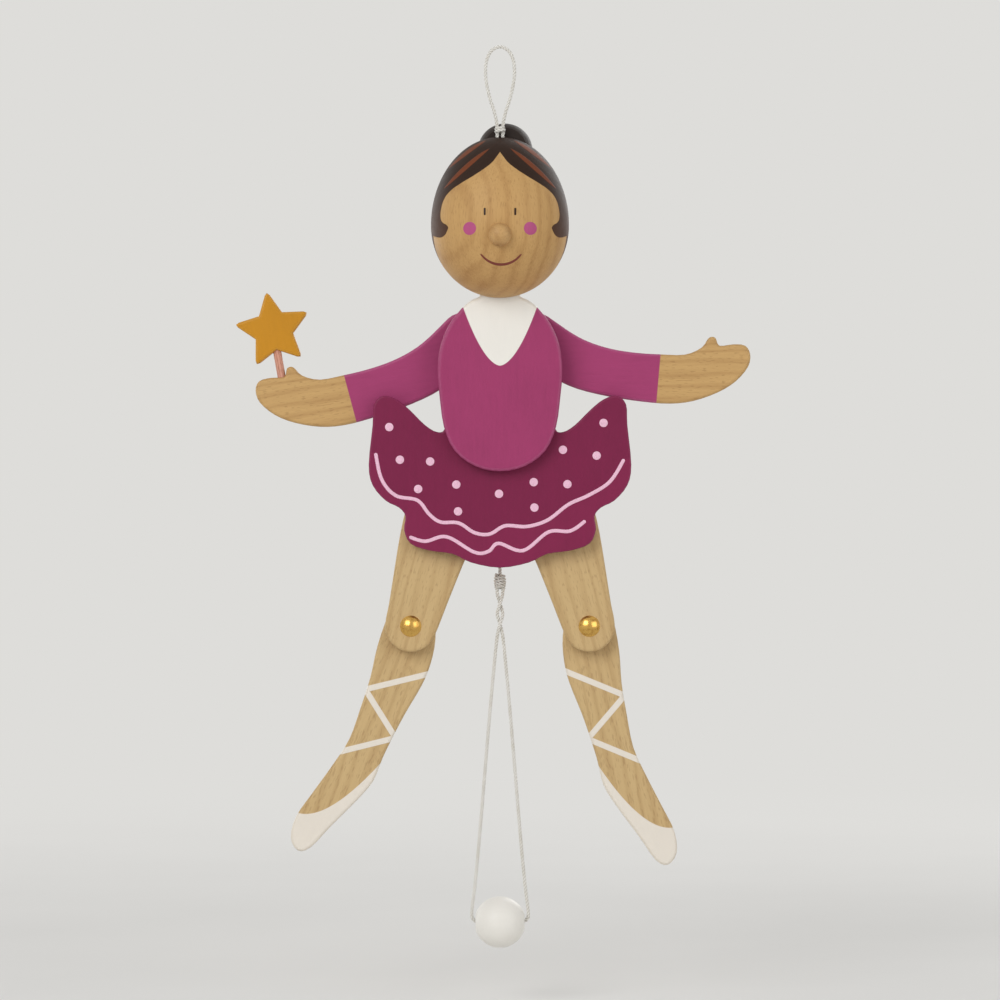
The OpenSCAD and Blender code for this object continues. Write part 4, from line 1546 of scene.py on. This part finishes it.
@dataclass
class Costume:
    """Torso plate with its white neck, and the tutu plate with painted dots and frills."""

    chin_z: float = -72.0
    torso_front: float = 2.4
    torso_thickness: float = 4.0
    tutu_front: float = 6.4
    tutu_thickness: float = 3.0
    neck_half: float = 10.9
    neck_top: float = -2.4
    neck_foot: float = -19.6
    neck_curve: float = 0.56
    neck_edge: Flat = (0.0, 0.24)
    collar: Flat = (-2.9, -2.5)
    hem_edge: Flat = (-0.3, 0.3)
    hem_depth: Flat = (1.2, 1.8)
    frill_width: float = 1.05
    frill_relief: float = 0.16
    frill_step: float = 0.2
    frill_steps: int = 8
    dot_radius: float = 1.25
    dot_profile: Outline = ((0.0, -0.1), (1.0, -0.1), (0.97, 0.05), (0.8, 0.12), (0.4, 0.16), (0.0, 0.17))
    dots: Outline = (
        (-32.2, -37.3), (-29.1, -46.8), (-20.3, -47.3), (-23.8, -55.3), (-12.7, -54.0), (-0.3, -56.7),
        (9.8, -53.3), (19.6, -53.9), (18.3, -43.9), (28.1, -45.6), (30.1, -36.1), (-12.2, -61.8),
        (10.0, -60.7),
    )
    upper_frill: Outline = (
        (-36.2, -44.8), (-34.4, -52.5), (-30.3, -57.2), (-24.0, -58.6), (-20.6, -62.6), (-17.3, -64.9),
        (-12.0, -65.2), (-7.4, -68.0), (-3.0, -68.4), (1.5, -66.0), (7.8, -66.2), (13.9, -64.3),
        (19.9, -59.8), (26.0, -57.0), (32.0, -53.1), (36.1, -46.6),
    )
    lower_frill: Outline = (
        (-26.4, -69.2), (-21.7, -70.5), (-15.5, -69.2), (-7.4, -73.7), (-3.3, -73.4), (-0.4, -71.1),
        (6.7, -73.2), (14.1, -67.8), (20.4, -67.5), (24.9, -64.5),
    )

    def build(self, shop: Workshop) -> None:
        """Build and dress both plates and the painted trim."""
        torso = Plate("torso_plate", rounding=1.1).mesh()
        shop.piece(torso, self.torso_finish(), "figure", "pink_paint", ["torso_plate"])
        tutu = Plate("tutu_plate", rounding=0.6).mesh()
        shop.piece(tutu, self.tutu_finish(), "figure", "magenta_paint", ["tutu_plate"])
        trim = self.trim_finish()
        shop.piece(self.frills(shop, trim), trim, "figure", "magenta_paint")
        spots = self._on_tutu(self.dots)
        shop.set_out(self.paint_drop(), spots, "tutu_dots", trim, "figure", "magenta_paint")

    def torso_finish(self) -> Material:
        """Dress the torso: pink paint with a white V at the neck."""
        shader = Shader("pink_paint")
        place = shader.upright
        finish = LIME.lay(shader, place, Ply(self.torso_front, self.torso_thickness))
        finish = PINK.over(shader, place, finish)
        up = shader.z - self.chin_z
        share = ((up - self.neck_foot) / (self.neck_top - self.neck_foot)).most(0.0).least(1.0)
        half = share**self.neck_curve * self.neck_half
        white = (half - abs(shader.x)).rise(*self.neck_edge).most(up.rise(*self.collar))
        finish = WHITE.over(shader, place, finish, white)
        return shader.finish(finish, Gloss(specular=0.22))

    def tutu_finish(self) -> Material:
        """Dress the tutu: dark magenta with a lighter hem below the upper frill."""
        shader = Shader("magenta_paint")
        place = shader.upright
        finish = LIME.lay(shader, place, Ply(self.tutu_front, self.tutu_thickness))
        finish = MAGENTA.over(shader, place, finish)
        edge = shader.line(shader.x, self.upper_frill)
        ahead = 1 - (shader.y - self.tutu_front).rise(*self.hem_depth)
        hem = (edge - (shader.z - self.chin_z)).rise(*self.hem_edge) * ahead
        finish = DEEP_PINK.over(shader, place, finish, hem)
        return shader.finish(finish, Gloss(specular=0.22))

    @staticmethod
    def trim_finish() -> Material:
        """Dress the brushed dots and frills in pale pink."""
        shader = Shader("frill_paint")
        waves = shader.noise(shader.vector(shader.x, 0.0, shader.z), 0.8)
        base = Layer(PALE_PINK.colour, PALE_PINK.roughness, waves)
        return shader.finish(PALE_PINK.over(shader, shader.upright, base), Gloss(specular=0.22))

    def _on_tutu(self, spots: Outline) -> list[Point]:
        """Place spots, which are given from the chin, on the tutu's front."""
        return [(x, self.tutu_front, z + self.chin_z) for x, z in spots]

    def frills(self, shop: Workshop, paint: Material) -> Mesh:
        """Brush the two wavy lines on the tutu."""
        frills = (self.upper_frill, self.lower_frill)
        lines = [smooth_line(self._on_tutu(frill), self.frill_steps) for frill in frills]
        values = {
            "Width": self.frill_width * MM,
            "Step": self.frill_step * MM,
            "Relief": self.frill_relief,
            "Front": self.tutu_front * MM,
            "Material": paint,
        }
        return shop.strokes.run(line_mesh(lines, "frill_lines"), "tutu_frills", values)

    def paint_drop(self) -> Mesh:
        """Turn one low drop of paint."""
        profile = [(self.dot_radius * share, level) for share, level in self.dot_profile]
        return Turned(profile, ORIGIN, FRONT, segments=28).mesh("paint_drop")


@dataclass
class Arm:
    """One arm: a pink sleeve and a bare hand in one plate."""

    side: Side
    drop: float
    front: float = 11.3
    thickness: float = 4.0
    cuff_top: Flat = (35.4, -4.4)
    cuff_foot: Flat = (34.2, -18.1)
    cuff_edge: Flat = (-0.15, 0.15)

    @property
    def axes(self) -> LimbFrame:
        """Give the arm's own axes."""
        return LimbFrame(self.side, f"{self.side.word}_shoulder", self.drop)

    @property
    def name(self) -> str:
        """Name the arm as the CAD does."""
        return f"{self.side.word}_arm"

    def build(self, shop: Workshop) -> None:
        """Build and dress the arm."""
        shop.piece(Plate(self.name).mesh(), self.finish(), self.name, "pink_paint", [self.name])

    def finish(self) -> Material:
        """Dress the arm: golden wood with the sleeve painted to the cuff."""
        shader = Shader(f"{self.name}_paint")
        out, up = self.axes.read(shader)
        place = Place(up, shader.y, out)
        finish = GOLDEN_LIME.lay(shader, place, Ply(self.front, self.thickness))
        lean = (self.cuff_top[0] - self.cuff_foot[0]) / (self.cuff_top[1] - self.cuff_foot[1])
        cuff = self.cuff_foot[0] + (up - self.cuff_foot[1]) * lean
        # The sleeve pink is partly painted light: a lighter copy of the torso's pink.
        finish = SLEEVE_PINK_PARTLY_LIT.over(shader, place, finish, (cuff - out).rise(*self.cuff_edge))
        return shader.finish(finish, Gloss(specular=0.22))


@dataclass
class Wand:
    """Star on a dowel in the left hand."""

    axes: LimbFrame
    body: str = "left_arm"
    foot: Flat = (53.469, -1.88)
    depth: float = 13.3
    seat: float = 6.0
    star_height: float = 14.0
    star_thickness: float = 4.0
    radius: float = 1.2
    soft: float = 0.25

    def build(self, shop: Workshop) -> None:
        """Build and dress the stick and the star."""
        shop.piece(self.stick(), self.stick_finish(), self.body, "stick_wood", ["wand_stick"])
        star = Plate("wand_star", rounding=0.8, smooth_steps=1).mesh()
        shop.piece(star, self.star_finish(), self.body, "star_paint", ["wand_star"])

    def stick(self) -> Mesh:
        """Turn the dowel with softened ends."""
        x, z = self.axes.at(self.foot[0], self.foot[1] - self.seat)
        top_x, top_z = self.axes.at(self.foot[0], self.foot[1] + self.star_height)
        length = self.seat + self.star_height
        axis = Vector((top_x - x, 0.0, top_z - z)).normalized()
        profile = [(0.0, 0.0), *rounded(self.radius, 0.0, length, self.soft), (0.0, length)]
        return Turned(profile, (x, self.depth, z), tuple(axis), segments=32).mesh("wand_dowel")

    def stick_finish(self) -> Material:
        """Dress the dowel in reddish wood."""
        shader = Shader("stick_wood")
        out, up = self.axes.read(shader)
        return shader.finish(ROSE_DOWEL.lay(shader, Place(out, shader.y, up)), Gloss(specular=0.25))

    def star_finish(self) -> Material:
        """Dress the star in golden paint."""
        shader = Shader("star_paint")
        out, up = self.axes.read(shader)
        place = Place(out, shader.y, up)
        front = self.depth - self.star_thickness / 2
        finish = GOLD.over(shader, place, LIME.lay(shader, place, Ply(front, self.star_thickness)))
        return shader.finish(finish, Gloss(specular=0.25))


@dataclass
class Leg:
    """One leg: a bare thigh, and a shin with painted ribbons and slipper."""

    side: Side
    thigh_lean: float
    shin_lean: float
    thigh_front: float = 11.3
    shin_front: float = 16.0
    thickness: float = 4.0
    throat: Point = (52.0, 1.7, -0.066)
    throat_edge: Flat = (-0.15, 0.15)
    ribbon_edge: Flat = (0.75, 0.95)
    ribbons: tuple[tuple[Flat, Flat], ...] = (
        ((12.0, -9.0), (22.0, 6.0)),
        ((32.5, -7.0), (22.5, 5.8)),
        ((33.0, -6.2), (41.0, 5.7)),
    )

    def build(self, shop: Workshop) -> None:
        """Build and dress the thigh and the shin."""
        thigh = f"{self.side.word}_thigh"
        shin = f"{self.side.word}_shin"
        shop.piece(Plate(thigh).mesh(), self.thigh_finish(thigh), thigh, "limb_wood", [thigh])
        shop.piece(Plate(shin).mesh(), self.shin_finish(shin), shin, "limb_wood", [shin])

    def thigh_finish(self, name: str) -> Material:
        """Dress the thigh in bare wood."""
        shader, _, finish = self._bare(name, "hip", self.thigh_lean, self.thigh_front)
        return shader.finish(finish, Gloss(specular=0.25))

    def shin_finish(self, name: str) -> Material:
        """Dress the shin in bare wood with white ribbons and a white slipper."""
        shader, place, finish = self._bare(name, "knee", self.shin_lean, self.shin_front)
        finish = RIBBON.over(shader, place, finish, self._ribbon_mask(place.across, place.along))
        return shader.finish(finish, Gloss(specular=0.25))

    def _bare(self, name: str, joint: str, lean: float, front: float) -> tuple[Shader, Place, Layer]:
        """Start a finish with bare wood, its grain along the limb.

        Args:
            name: Name of the limb.
            joint: Joint that it hangs from, without its side.
            lean: How far the limb leans out, in degrees.
            front: Depth of its front face.

        Returns:
            The shader, the place on the limb and the wood.
        """
        shader = Shader(f"{name}_wood")
        out, up = LimbFrame(self.side, f"{self.side.word}_{joint}", -lean).read(shader)
        place = Place(out, shader.y, up)
        return shader, place, LIME.lay(shader, place, Ply(front, self.thickness))

    def _ribbon_mask(self, out: Value, up: Value) -> Value:
        """Mask the slipper and the ribbons that zigzag up from it."""
        down = up * -1.0
        level, slant, curve = self.throat
        throat = out * slant + out**2.0 * curve + level
        mask = (down - throat).rise(*self.throat_edge)
        for (start_down, start_out), (end_down, end_out) in self.ribbons:
            slope = (end_down - start_down) / (end_out - start_out)
            across = math.cos(math.atan(slope))
            middle = out * slope + (start_down - slope * start_out)
            mask = mask.most(1 - (abs(down - middle) * across).rise(*self.ribbon_edge))
        return mask


@dataclass
class Fasteners:
    """Rivets at the shoulders, hips and knees, and the washers on them."""

    tutu_front: float = 6.4
    tutu_back: float = 9.4
    limb_front: float = 11.3
    limb_back: float = 15.3
    burr_front: float = 15.9
    knee_burr_front: float = 20.6
    shank: float = 1.5
    flat_head: float = 2.8
    flat_thickness: float = 1.0
    head_soft: float = 0.25
    under_soft: float = 0.1
    dome: float = 3.1
    dome_height: float = 1.5
    dome_steps: int = 14
    dome_rim: Flat = (0.06, 0.12)
    dome_foot: float = 0.05
    burr: float = 2.3
    burr_height: float = 1.0
    burr_shares: Outline = (
        (0.94, 0.0), (1.0, 0.3), (0.93, 0.7), (0.76, 0.95), (0.6, 1.0), (0.46, 0.88), (0.38, 0.5),
        (0.3, 0.2), (0.0, 0.12),
    )
    washer: float = 3.5
    washer_bore: float = 1.55
    washer_soft: float = 0.15
    spacer: float = 1.8
    thin_washer: float = 0.5

    def build(self, shop: Workshop) -> None:
        """Build and dress the rivets and washers, one mesh for each body and kind."""
        joints = [f"{side.word}_{joint}" for joint in ("shoulder", "hip") for side in Side]
        spots = [self._spot(joint) for joint in joints]
        rivets = [f"{joint}_rivet" for joint in joints]
        shop.set_out(self.flat_rivet(), spots, "body_rivets", shop.brass, "figure", "rivet_brass", rivets)
        spacer = self._ring(self.tutu_back, self.spacer)
        shop.set_out(spacer, spots, "spacers", shop.nylon, "figure", "washer_nylon", ["spacer_washers"])
        rear = self._ring(self.burr_front - self.thin_washer, self.thin_washer)
        shop.set_out(rear, spots, "rear_washers", shop.nylon, "figure", "washer_nylon", ["back_washers"])
        for side in Side:
            self._knee(shop, side)

    def _knee(self, shop: Workshop, side: Side) -> None:
        """Build one knee's rivet and its two washers."""
        knee = f"{side.word}_knee"
        body = f"{side.word}_thigh"
        spot = self._spot(knee)
        name = f"{side.word}_dome_rivet"
        shop.set_out(self.knee_rivet(), [spot], name, shop.brass, body, "rivet_brass", [f"{knee}_rivet"])
        rear = self.knee_burr_front - self.thin_washer - self.limb_back
        spots = [spot, (spot[0], rear, spot[2])]
        ring = self._ring(self.limb_back, self.thin_washer)
        shop.set_out(ring, spots, f"{knee}_rings", shop.nylon, body, "washer_nylon", [f"{knee}_washers"])

    @staticmethod
    def _spot(joint: str) -> Point:
        """Place a fastener on a joint's axis."""
        across, height = pivot(joint)
        return (across, 0.0, height)

    def _burr_profile(self, front: float) -> list[Flat]:
        """Draw the rolled end that closes a rivet, with a dimple in its middle."""
        rolled = [(self.burr * wide, front + self.burr_height * tall) for wide, tall in self.burr_shares]
        return [(self.shank, front), *rolled]

    def flat_rivet(self) -> Mesh:
        """Turn a flat rivet with softened head."""
        face = self.tutu_front
        under = face + self.flat_thickness
        profile = [
            (0.0, face),
            (self.flat_head - self.head_soft, face),
            (self.flat_head, face + self.head_soft),
            (self.flat_head, under - self.under_soft),
            (self.flat_head - self.under_soft, under),
            (self.shank, under),
            *self._burr_profile(self.burr_front),
        ]
        return Turned(profile, ORIGIN, BACK).mesh("flat_rivet")

    def knee_rivet(self) -> Mesh:
        """Turn a domed rivet."""
        tall = self.dome_height
        ball = (self.dome**2 + tall**2) / (2 * tall)
        reach = math.asin(self.dome / ball)
        face = self.limb_front
        turns = [reach * k / self.dome_steps for k in range(1, self.dome_steps)]
        profile = [
            (0.0, face - tall),
            *((ball * math.sin(a), face - tall + ball * (1 - math.cos(a))) for a in turns),
            (self.dome - self.dome_rim[0], face - self.dome_rim[1]),
            (self.dome, face - self.dome_foot),
            (self.dome, face),
            (self.shank, face),
            *self._burr_profile(self.knee_burr_front),
        ]
        return Turned(profile, ORIGIN, BACK).mesh("dome_rivet")

    def _ring(self, front: float, thickness: float) -> Mesh:
        """Turn a washer with softened edges."""
        soft = min(self.washer_soft, thickness / 4)
        back = front + thickness
        profile = [
            (self.washer_bore + soft, front),
            *rounded(self.washer, front, back, soft),
            (self.washer_bore + soft, back),
            (self.washer_bore, back - soft),
            (self.washer_bore, front + soft),
        ]
        return Turned(profile, ORIGIN, BACK, hollow=True).mesh("washer_ring")


@dataclass
class Strings:
    """Hanging loop, cross cords, pull cord, pull loop and bead, with their knots."""

    diameter: float = 1.0
    radius: float = 0.55
    knot_radius: float = 0.5
    bead_place: Point = (0.0, 14.0, -254.0)
    bead_radius: float = 7.5
    bead_bore: float = 1.2
    bead_mouth: float = 2.2
    bead_steps: int = 40
    mouth_depth: float = 1.6
    mouth_lip: float = 0.35
    lip_level: float = 0.12
    flare_share: float = 0.7
    steps: int = 10
    pull_steps: int = 24
    wrap_steps: int = 24
    wrap_end: float = 0.82
    knot_steps: int = 72
    least_lift: float = 0.12
    stop_depth: float = 10.35
    stop_size: Flat = (2.1, 1.3)
    tie_depth: float = 18.2
    tie_size: Point = (1.9, 3.4, 3.0)
    hanging_exit: Point = (-0.8, 0.0, -25.4)
    hanging_knot: Point = (0.0, 0.0, -23.6)
    hanging_size: Point = (1.7, 2.6, 2.0)
    pull_exit: Point = (0.0, 18.8, -81.0)
    pull_knot: Point = (0.0, 18.8, -154.5)
    pull_size: Point = (1.9, 5.0, 4.5)
    loop_exit: Point = (-0.8, 18.8, -157.0)
    hanging_half: Route = (
        (-0.8, 0, -32), (-0.8, 0, -28), (-0.8, 0, -25), (-0.9, 0, -22), (-1.6, 0, -18.5), (-2.9, 0, -14.5),
        (-3.9, 0, -10), (-4.2, 0, -6.5), (-3.8, 0, -3.2), (-2.4, 0, -0.6), (0, 0, 0.5),
    )
    arm_route: Route = (
        (-5.2, 10.4, -79.5), (-5.2, 13, -79.5), (-5.2, 15.6, -79.5), (-4.6, 17, -79.6), (-3.2, 17.6, -79.7),
        (0, 17.6, -80), (3.2, 17.6, -80.3), (4.6, 17, -80.4), (5.2, 15.6, -80.5), (5.2, 13, -80.5),
        (5.2, 10.4, -80.5),
    )
    leg_half: Route = (
        (-4.5, 10.4, -109.5), (-4.5, 13, -109.5), (-4.5, 15.6, -109.5), (-3.9, 17, -109.5),
        (-2.5, 17.6, -109.5), (0, 17.6, -109.5),
    )
    pull_route: Route = ((0, 18.8, -79), (0, 18.8, -100), (0, 18.8, -125), (0, 18.8, -154))
    loop_start: Route = (
        (-0.8, 18.8, -155), (-0.8, 18.8, -158), (0, 19.6, -161), (0.8, 18.8, -164), (0, 17.9, -167),
    )
    loop_half: Route = (
        (-0.8, 18.5, -170.5), (-1.6, 18.2, -178), (-2.9, 17.6, -192), (-4.4, 16.8, -210),
        (-5.9, 15.6, -228), (-7.2, 14.4, -242), (-8, 14, -248.5), (-8.3, 14, -251.8), (-7.8, 14, -253.3),
        (-6.4, 14, -254), (-3.2, 14, -254), (0, 14, -254),
    )
    loop_end: Route = (
        (0, 19.5, -167), (-0.8, 18.8, -164), (0, 18, -161), (0.8, 18.8, -158), (0.8, 18.8, -155),
    )

    def build(self, shop: Workshop) -> None:
        """Build and dress every cord and knot."""
        self._hanging(shop)
        self._cross_cord(shop, "arm", self.arm_route)
        self._cross_cord(shop, "leg", mirrored(self.leg_half))
        self._pull(shop)

    @staticmethod
    def _length(line: Sequence[Vector]) -> float:
        """Measure a line, in metres."""
        return sum((b - a).length for a, b in zip(line, line[1:])) * MM

    def _declare(
        self,
        line: Sequence[Vector],
        leaves: Point,
    ) -> None:
        """Turn a free cord's centre line and exit point into metres, without keeping either.

        Args:
            line: Its centre line in millimetres.
            leaves: Where it leaves the object, in millimetres.
        """
        tuple(Vector(leaves) * MM)
        [tuple(p * MM) for p in line]

    def coil(self, place: Point, radius: float, length: float, turns: float) -> list[Vector]:
        """Wind a knot's wraps about an upright line.

        Args:
            place: Middle of the knot.
            radius: Outer radius.
            length: Outer length.
            turns: Number of wraps.

        Returns:
            The line of the wraps in millimetres.
        """
        reach = radius - self.knot_radius
        rise = length - 2 * self.knot_radius
        count = int(turns * self.wrap_steps)
        line = []
        for k in range(count + 1):
            share = k / count
            turn = 2 * math.pi * turns * share
            belly = reach * (self.wrap_end + (1 - self.wrap_end) * math.sin(math.pi * share))
            spot = Vector((belly * math.cos(turn), belly * math.sin(turn), rise * (share - 0.5)))
            line.append(Vector(place) + spot)
        return line

    def trefoil(self, place: Point, radius: float, thickness: float) -> list[Vector]:
        """Tie a flat overhand knot that faces the front.

        Args:
            place: Middle of the knot.
            radius: Outer radius.
            thickness: Depth from front to back.

        Returns:
            The line of the knot in millimetres.
        """
        reach = (radius - self.knot_radius) / 3
        lift = max(thickness / 2 - self.knot_radius, self.least_lift)
        line = []
        for k in range(self.knot_steps + 1):
            turn = 2 * math.pi * k / self.knot_steps
            x = reach * (math.sin(turn) + 2 * math.sin(2 * turn))
            z = reach * (math.cos(turn) - 2 * math.cos(2 * turn))
            line.append(Vector(place) + Vector((x, -lift * math.sin(3 * turn), z)))
        return line

    def _hanging(self, shop: Workshop) -> None:
        """Build the loop that hangs the figure, and its knot."""
        line = smooth_line(mirrored(self.hanging_half), self.steps)
        loop = shop.cord([line], "hanging_string", self.radius, "figure", "hanging_loop")
        wraps = self.coil(self.hanging_knot, *self.hanging_size)
        knot = shop.cord([wraps], "hanging_wraps", self.knot_radius, "figure", "hanging_knot")
        self._declare(line, self.hanging_exit)

    def _cross_cord(self, shop: Workshop, limb: str, route: Sequence[Point]) -> None:
        """Build a cord between two limbs' tails, its stop knots and its tie knot."""
        line = smooth_line(route, self.steps)
        shop.cord([line], f"{limb}_string", self.radius, "pull", f"{limb}_cord")
        ends = [self.trefoil((x, self.stop_depth, z), *self.stop_size) for x, _, z in (route[0], route[-1])]
        shop.cord(ends, f"{limb}_end_knots", self.knot_radius, "pull", f"{limb}_stop_knots")
        x, _, z = route[len(route) // 2]
        wraps = self.coil((x, self.tie_depth, z), *self.tie_size)
        shop.cord([wraps], f"{limb}_tie_wraps", self.knot_radius, "pull", f"{limb}_tie_knot")

    def _pull(self, shop: Workshop) -> None:
        """Build the pull cord, its knot, the doubled loop and the bead."""
        line = smooth_line(self.pull_route, self.pull_steps)
        cord = shop.cord([line], "pull_string", self.radius, "pull", "pull_cord")
        wraps = self.coil(self.pull_knot, *self.pull_size)
        knot = shop.cord([wraps], "pull_wraps", self.knot_radius, "pull", "pull_knot")
        self._declare(line, self.pull_exit)
        route = [*self.loop_start, *mirrored(self.loop_half), *self.loop_end]
        double = smooth_line(route, self.steps)
        loop = shop.cord([double], "bead_string", self.radius, "pull", "pull_loop")
        bead = shop.piece(self.bead(), self.bead_finish(), "pull", "bead_wood", ["bead"])
        self._declare(double, self.loop_exit)

    def bead(self) -> Mesh:
        """Turn the bead with flared, softened mouths."""
        mouth = math.acos(self.bead_mouth / self.bead_radius)
        turns = [mouth - 2 * mouth * k / self.bead_steps for k in range(self.bead_steps + 1)]
        outer = [(self.bead_radius * math.cos(a), self.bead_radius * math.sin(a)) for a in turns]
        top = outer[0][1]
        upper = [
            (self.bead_bore, top - self.mouth_depth),
            (self.bead_bore + self.mouth_lip, top - self.flare_share * self.mouth_depth),
            (self.bead_mouth - self.mouth_lip, top - self.lip_level),
        ]
        lower = [(reach, -level) for reach, level in reversed(upper)]
        profile = [*outer, *lower, *upper]
        return Turned(profile, self.bead_place, RIGHT, hollow=True, segments=72).mesh("pull_bead")

    @staticmethod
    def bead_finish() -> Material:
        """Dress the bead in white lacquer over wood."""
        shader = Shader("bead_wood")
        place = Place(shader.z, shader.y, shader.x)
        finish = WHITE.over(shader, place, LIME.lay(shader, place))
        return shader.finish(finish, Gloss(specular=0.2))


@dataclass
class Studio:
    """Pale floor, soft lamps and the front camera."""

    floor_z: float = -0.278
    floor_radius: float = 4.0
    fade: Flat = (250.0, 900.0)
    middle_z: float = -0.1305
    distance: float = 1.1
    view_height: float = 0.289
    ambient: float = 0.4
    lamps: tuple[tuple[str, Point, float, float], ...] = (
        ("key_lamp", (-0.75, -1.15, 0.55), 0.9, 10.5),
        ("fill_lamp", (1.0, -0.95, 0.15), 1.1, 5.0),
        ("back_lamp", (0.7, 1.2, 0.5), 1.0, 8.0),
        ("rear_fill", (-0.9, 1.0, 0.0), 1.0, 5.0),
    )
    pale: Colour = rgb(222, 221, 218)
    floor_light: Colour = rgb(232, 231, 228)
    floor_dark: Colour = rgb(226, 225, 222)
    floor_clouds: Grain = Grain(0.01, 0.01)
    floor_depth: float = 5.0

    def build(self) -> None:
        """Build the floor, the world, the lamps and the camera."""
        self._floor()
        self._world()
        for name, place, size, power in self.lamps:
            self._lamp(name, place, size, power)
        self._camera()
        bpy.context.scene.view_settings.view_transform = "Standard"

    def _floor(self) -> None:
        """Lay a wide pale floor below the bead, which takes its shadow and fades into the backdrop."""
        reach = self.floor_radius / MM
        profile = [(0.0, 0.0), (reach, 0.0), (reach, -self.floor_depth), (0.0, -self.floor_depth)]
        place = (0.0, 0.0, self.floor_z / MM)
        mesh = Turned(profile, place, UP, segments=96).mesh("studio_floor")
        shader = Shader("studio_floor")
        cloud = self.floor_clouds.read(shader, shader.upright)
        colour = shader.mix(cloud, self.floor_light, self.floor_dark)
        sockets = {"Base Color": colour, "Roughness": cloud * 0.1 + 0.8, "Specular IOR Level": 0.1}
        ground = shader.add("ShaderNodeBsdfPrincipled", sockets=sockets)
        glow = shader.add("ShaderNodeEmission", sockets={"Color": self.pale, "Strength": 1.0})
        away = (shader.x ** 2.0 + shader.y ** 2.0) ** 0.5
        share = away.rise(*self.fade) * Value(shader, self._seen(shader))
        sockets = {0: share, 1: ground.outputs[0], 2: glow.outputs[0]}
        shown = shader.add("ShaderNodeMixShader", sockets=sockets)
        shader.add("ShaderNodeOutputMaterial", sockets={"Surface": shown.outputs[0]})
        mesh.materials.append(shader.material)
        floor = bpy.data.objects.new("studio_floor", mesh)
        bpy.context.scene.collection.objects.link(floor)

    @staticmethod
    def _seen(graph: Graph) -> Socket:
        """Tell rays that see the backdrop, straight or in a shine, from those that carry light."""
        path = graph.add("ShaderNodeLightPath").outputs
        joined = path["Is Camera Ray"]
        for kind in ("Is Glossy Ray", "Is Transmission Ray"):
            joined = graph.number("MAXIMUM", joined, path[kind])
        return joined

    def _world(self) -> None:
        """Surround the scene with soft light, and show the pale backdrop behind the figure."""
        world = bpy.data.worlds.new("studio_world")
        bpy.context.scene.world = world
        world.use_nodes = True
        world.node_tree.nodes.clear()
        graph = Graph(world.node_tree)
        sockets = {"Color": (1.0, 1.0, 1.0, 1.0), "Strength": self.ambient}
        soft = graph.add("ShaderNodeBackground", sockets=sockets)
        backdrop = graph.add("ShaderNodeBackground", sockets={"Color": self.pale, "Strength": 1.0})
        sockets = {0: self._seen(graph), 1: soft.outputs[0], 2: backdrop.outputs[0]}
        shown = graph.add("ShaderNodeMixShader", sockets=sockets)
        graph.add("ShaderNodeOutputWorld", sockets={"Surface": shown.outputs[0]})

    def _lamp(self, name: str, place: Point, size: float, power: float) -> None:
        """Hang one soft lamp that faces the figure.

        Args:
            name: Name of the lamp.
            place: Where it hangs, in metres.
            size: Edge of its square face.
            power: Its power in watts.
        """
        data = bpy.data.lights.new(name, "AREA")
        data.size = size
        data.energy = power
        lamp = bpy.data.objects.new(name, data)
        lamp.location = place
        aim = Vector((0.0, 0.0, self.middle_z)) - Vector(place)
        lamp.rotation_euler = aim.to_track_quat("-Z", "Y").to_euler()
        bpy.context.scene.collection.objects.link(lamp)

    def _camera(self) -> None:
        """Stand the camera square before the figure."""
        data = bpy.data.cameras.new("front_camera")
        data.sensor_width = 36.0
        data.lens = data.sensor_width * self.distance / self.view_height
        camera = bpy.data.objects.new("front_camera", data)
        camera.location = (0.0, -self.distance, self.middle_z)
        camera.rotation_euler = (math.pi / 2, 0.0, 0.0)
        bpy.context.scene.collection.objects.link(camera)
        bpy.context.scene.camera = camera


def main() -> None:
    """Build every sub-assembly in order."""
    logging.basicConfig(level=logging.INFO, format="%(message)s")
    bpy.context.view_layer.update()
    Studio().build()
    shop = Workshop()
    Strings().build(shop)
    Head().build(shop)
    Costume().build(shop)
    left_arm = Arm(Side.LEFT, drop=10.0)
    left_arm.build(shop)
    Arm(Side.RIGHT, drop=0.0).build(shop)
    Wand(left_arm.axes).build(shop)
    Leg(Side.LEFT, thigh_lean=15.5, shin_lean=20.0).build(shop)
    Leg(Side.RIGHT, thigh_lean=15.5, shin_lean=11.5).build(shop)
    Fasteners().build(shop)


if __name__ == "__main__":
    main()
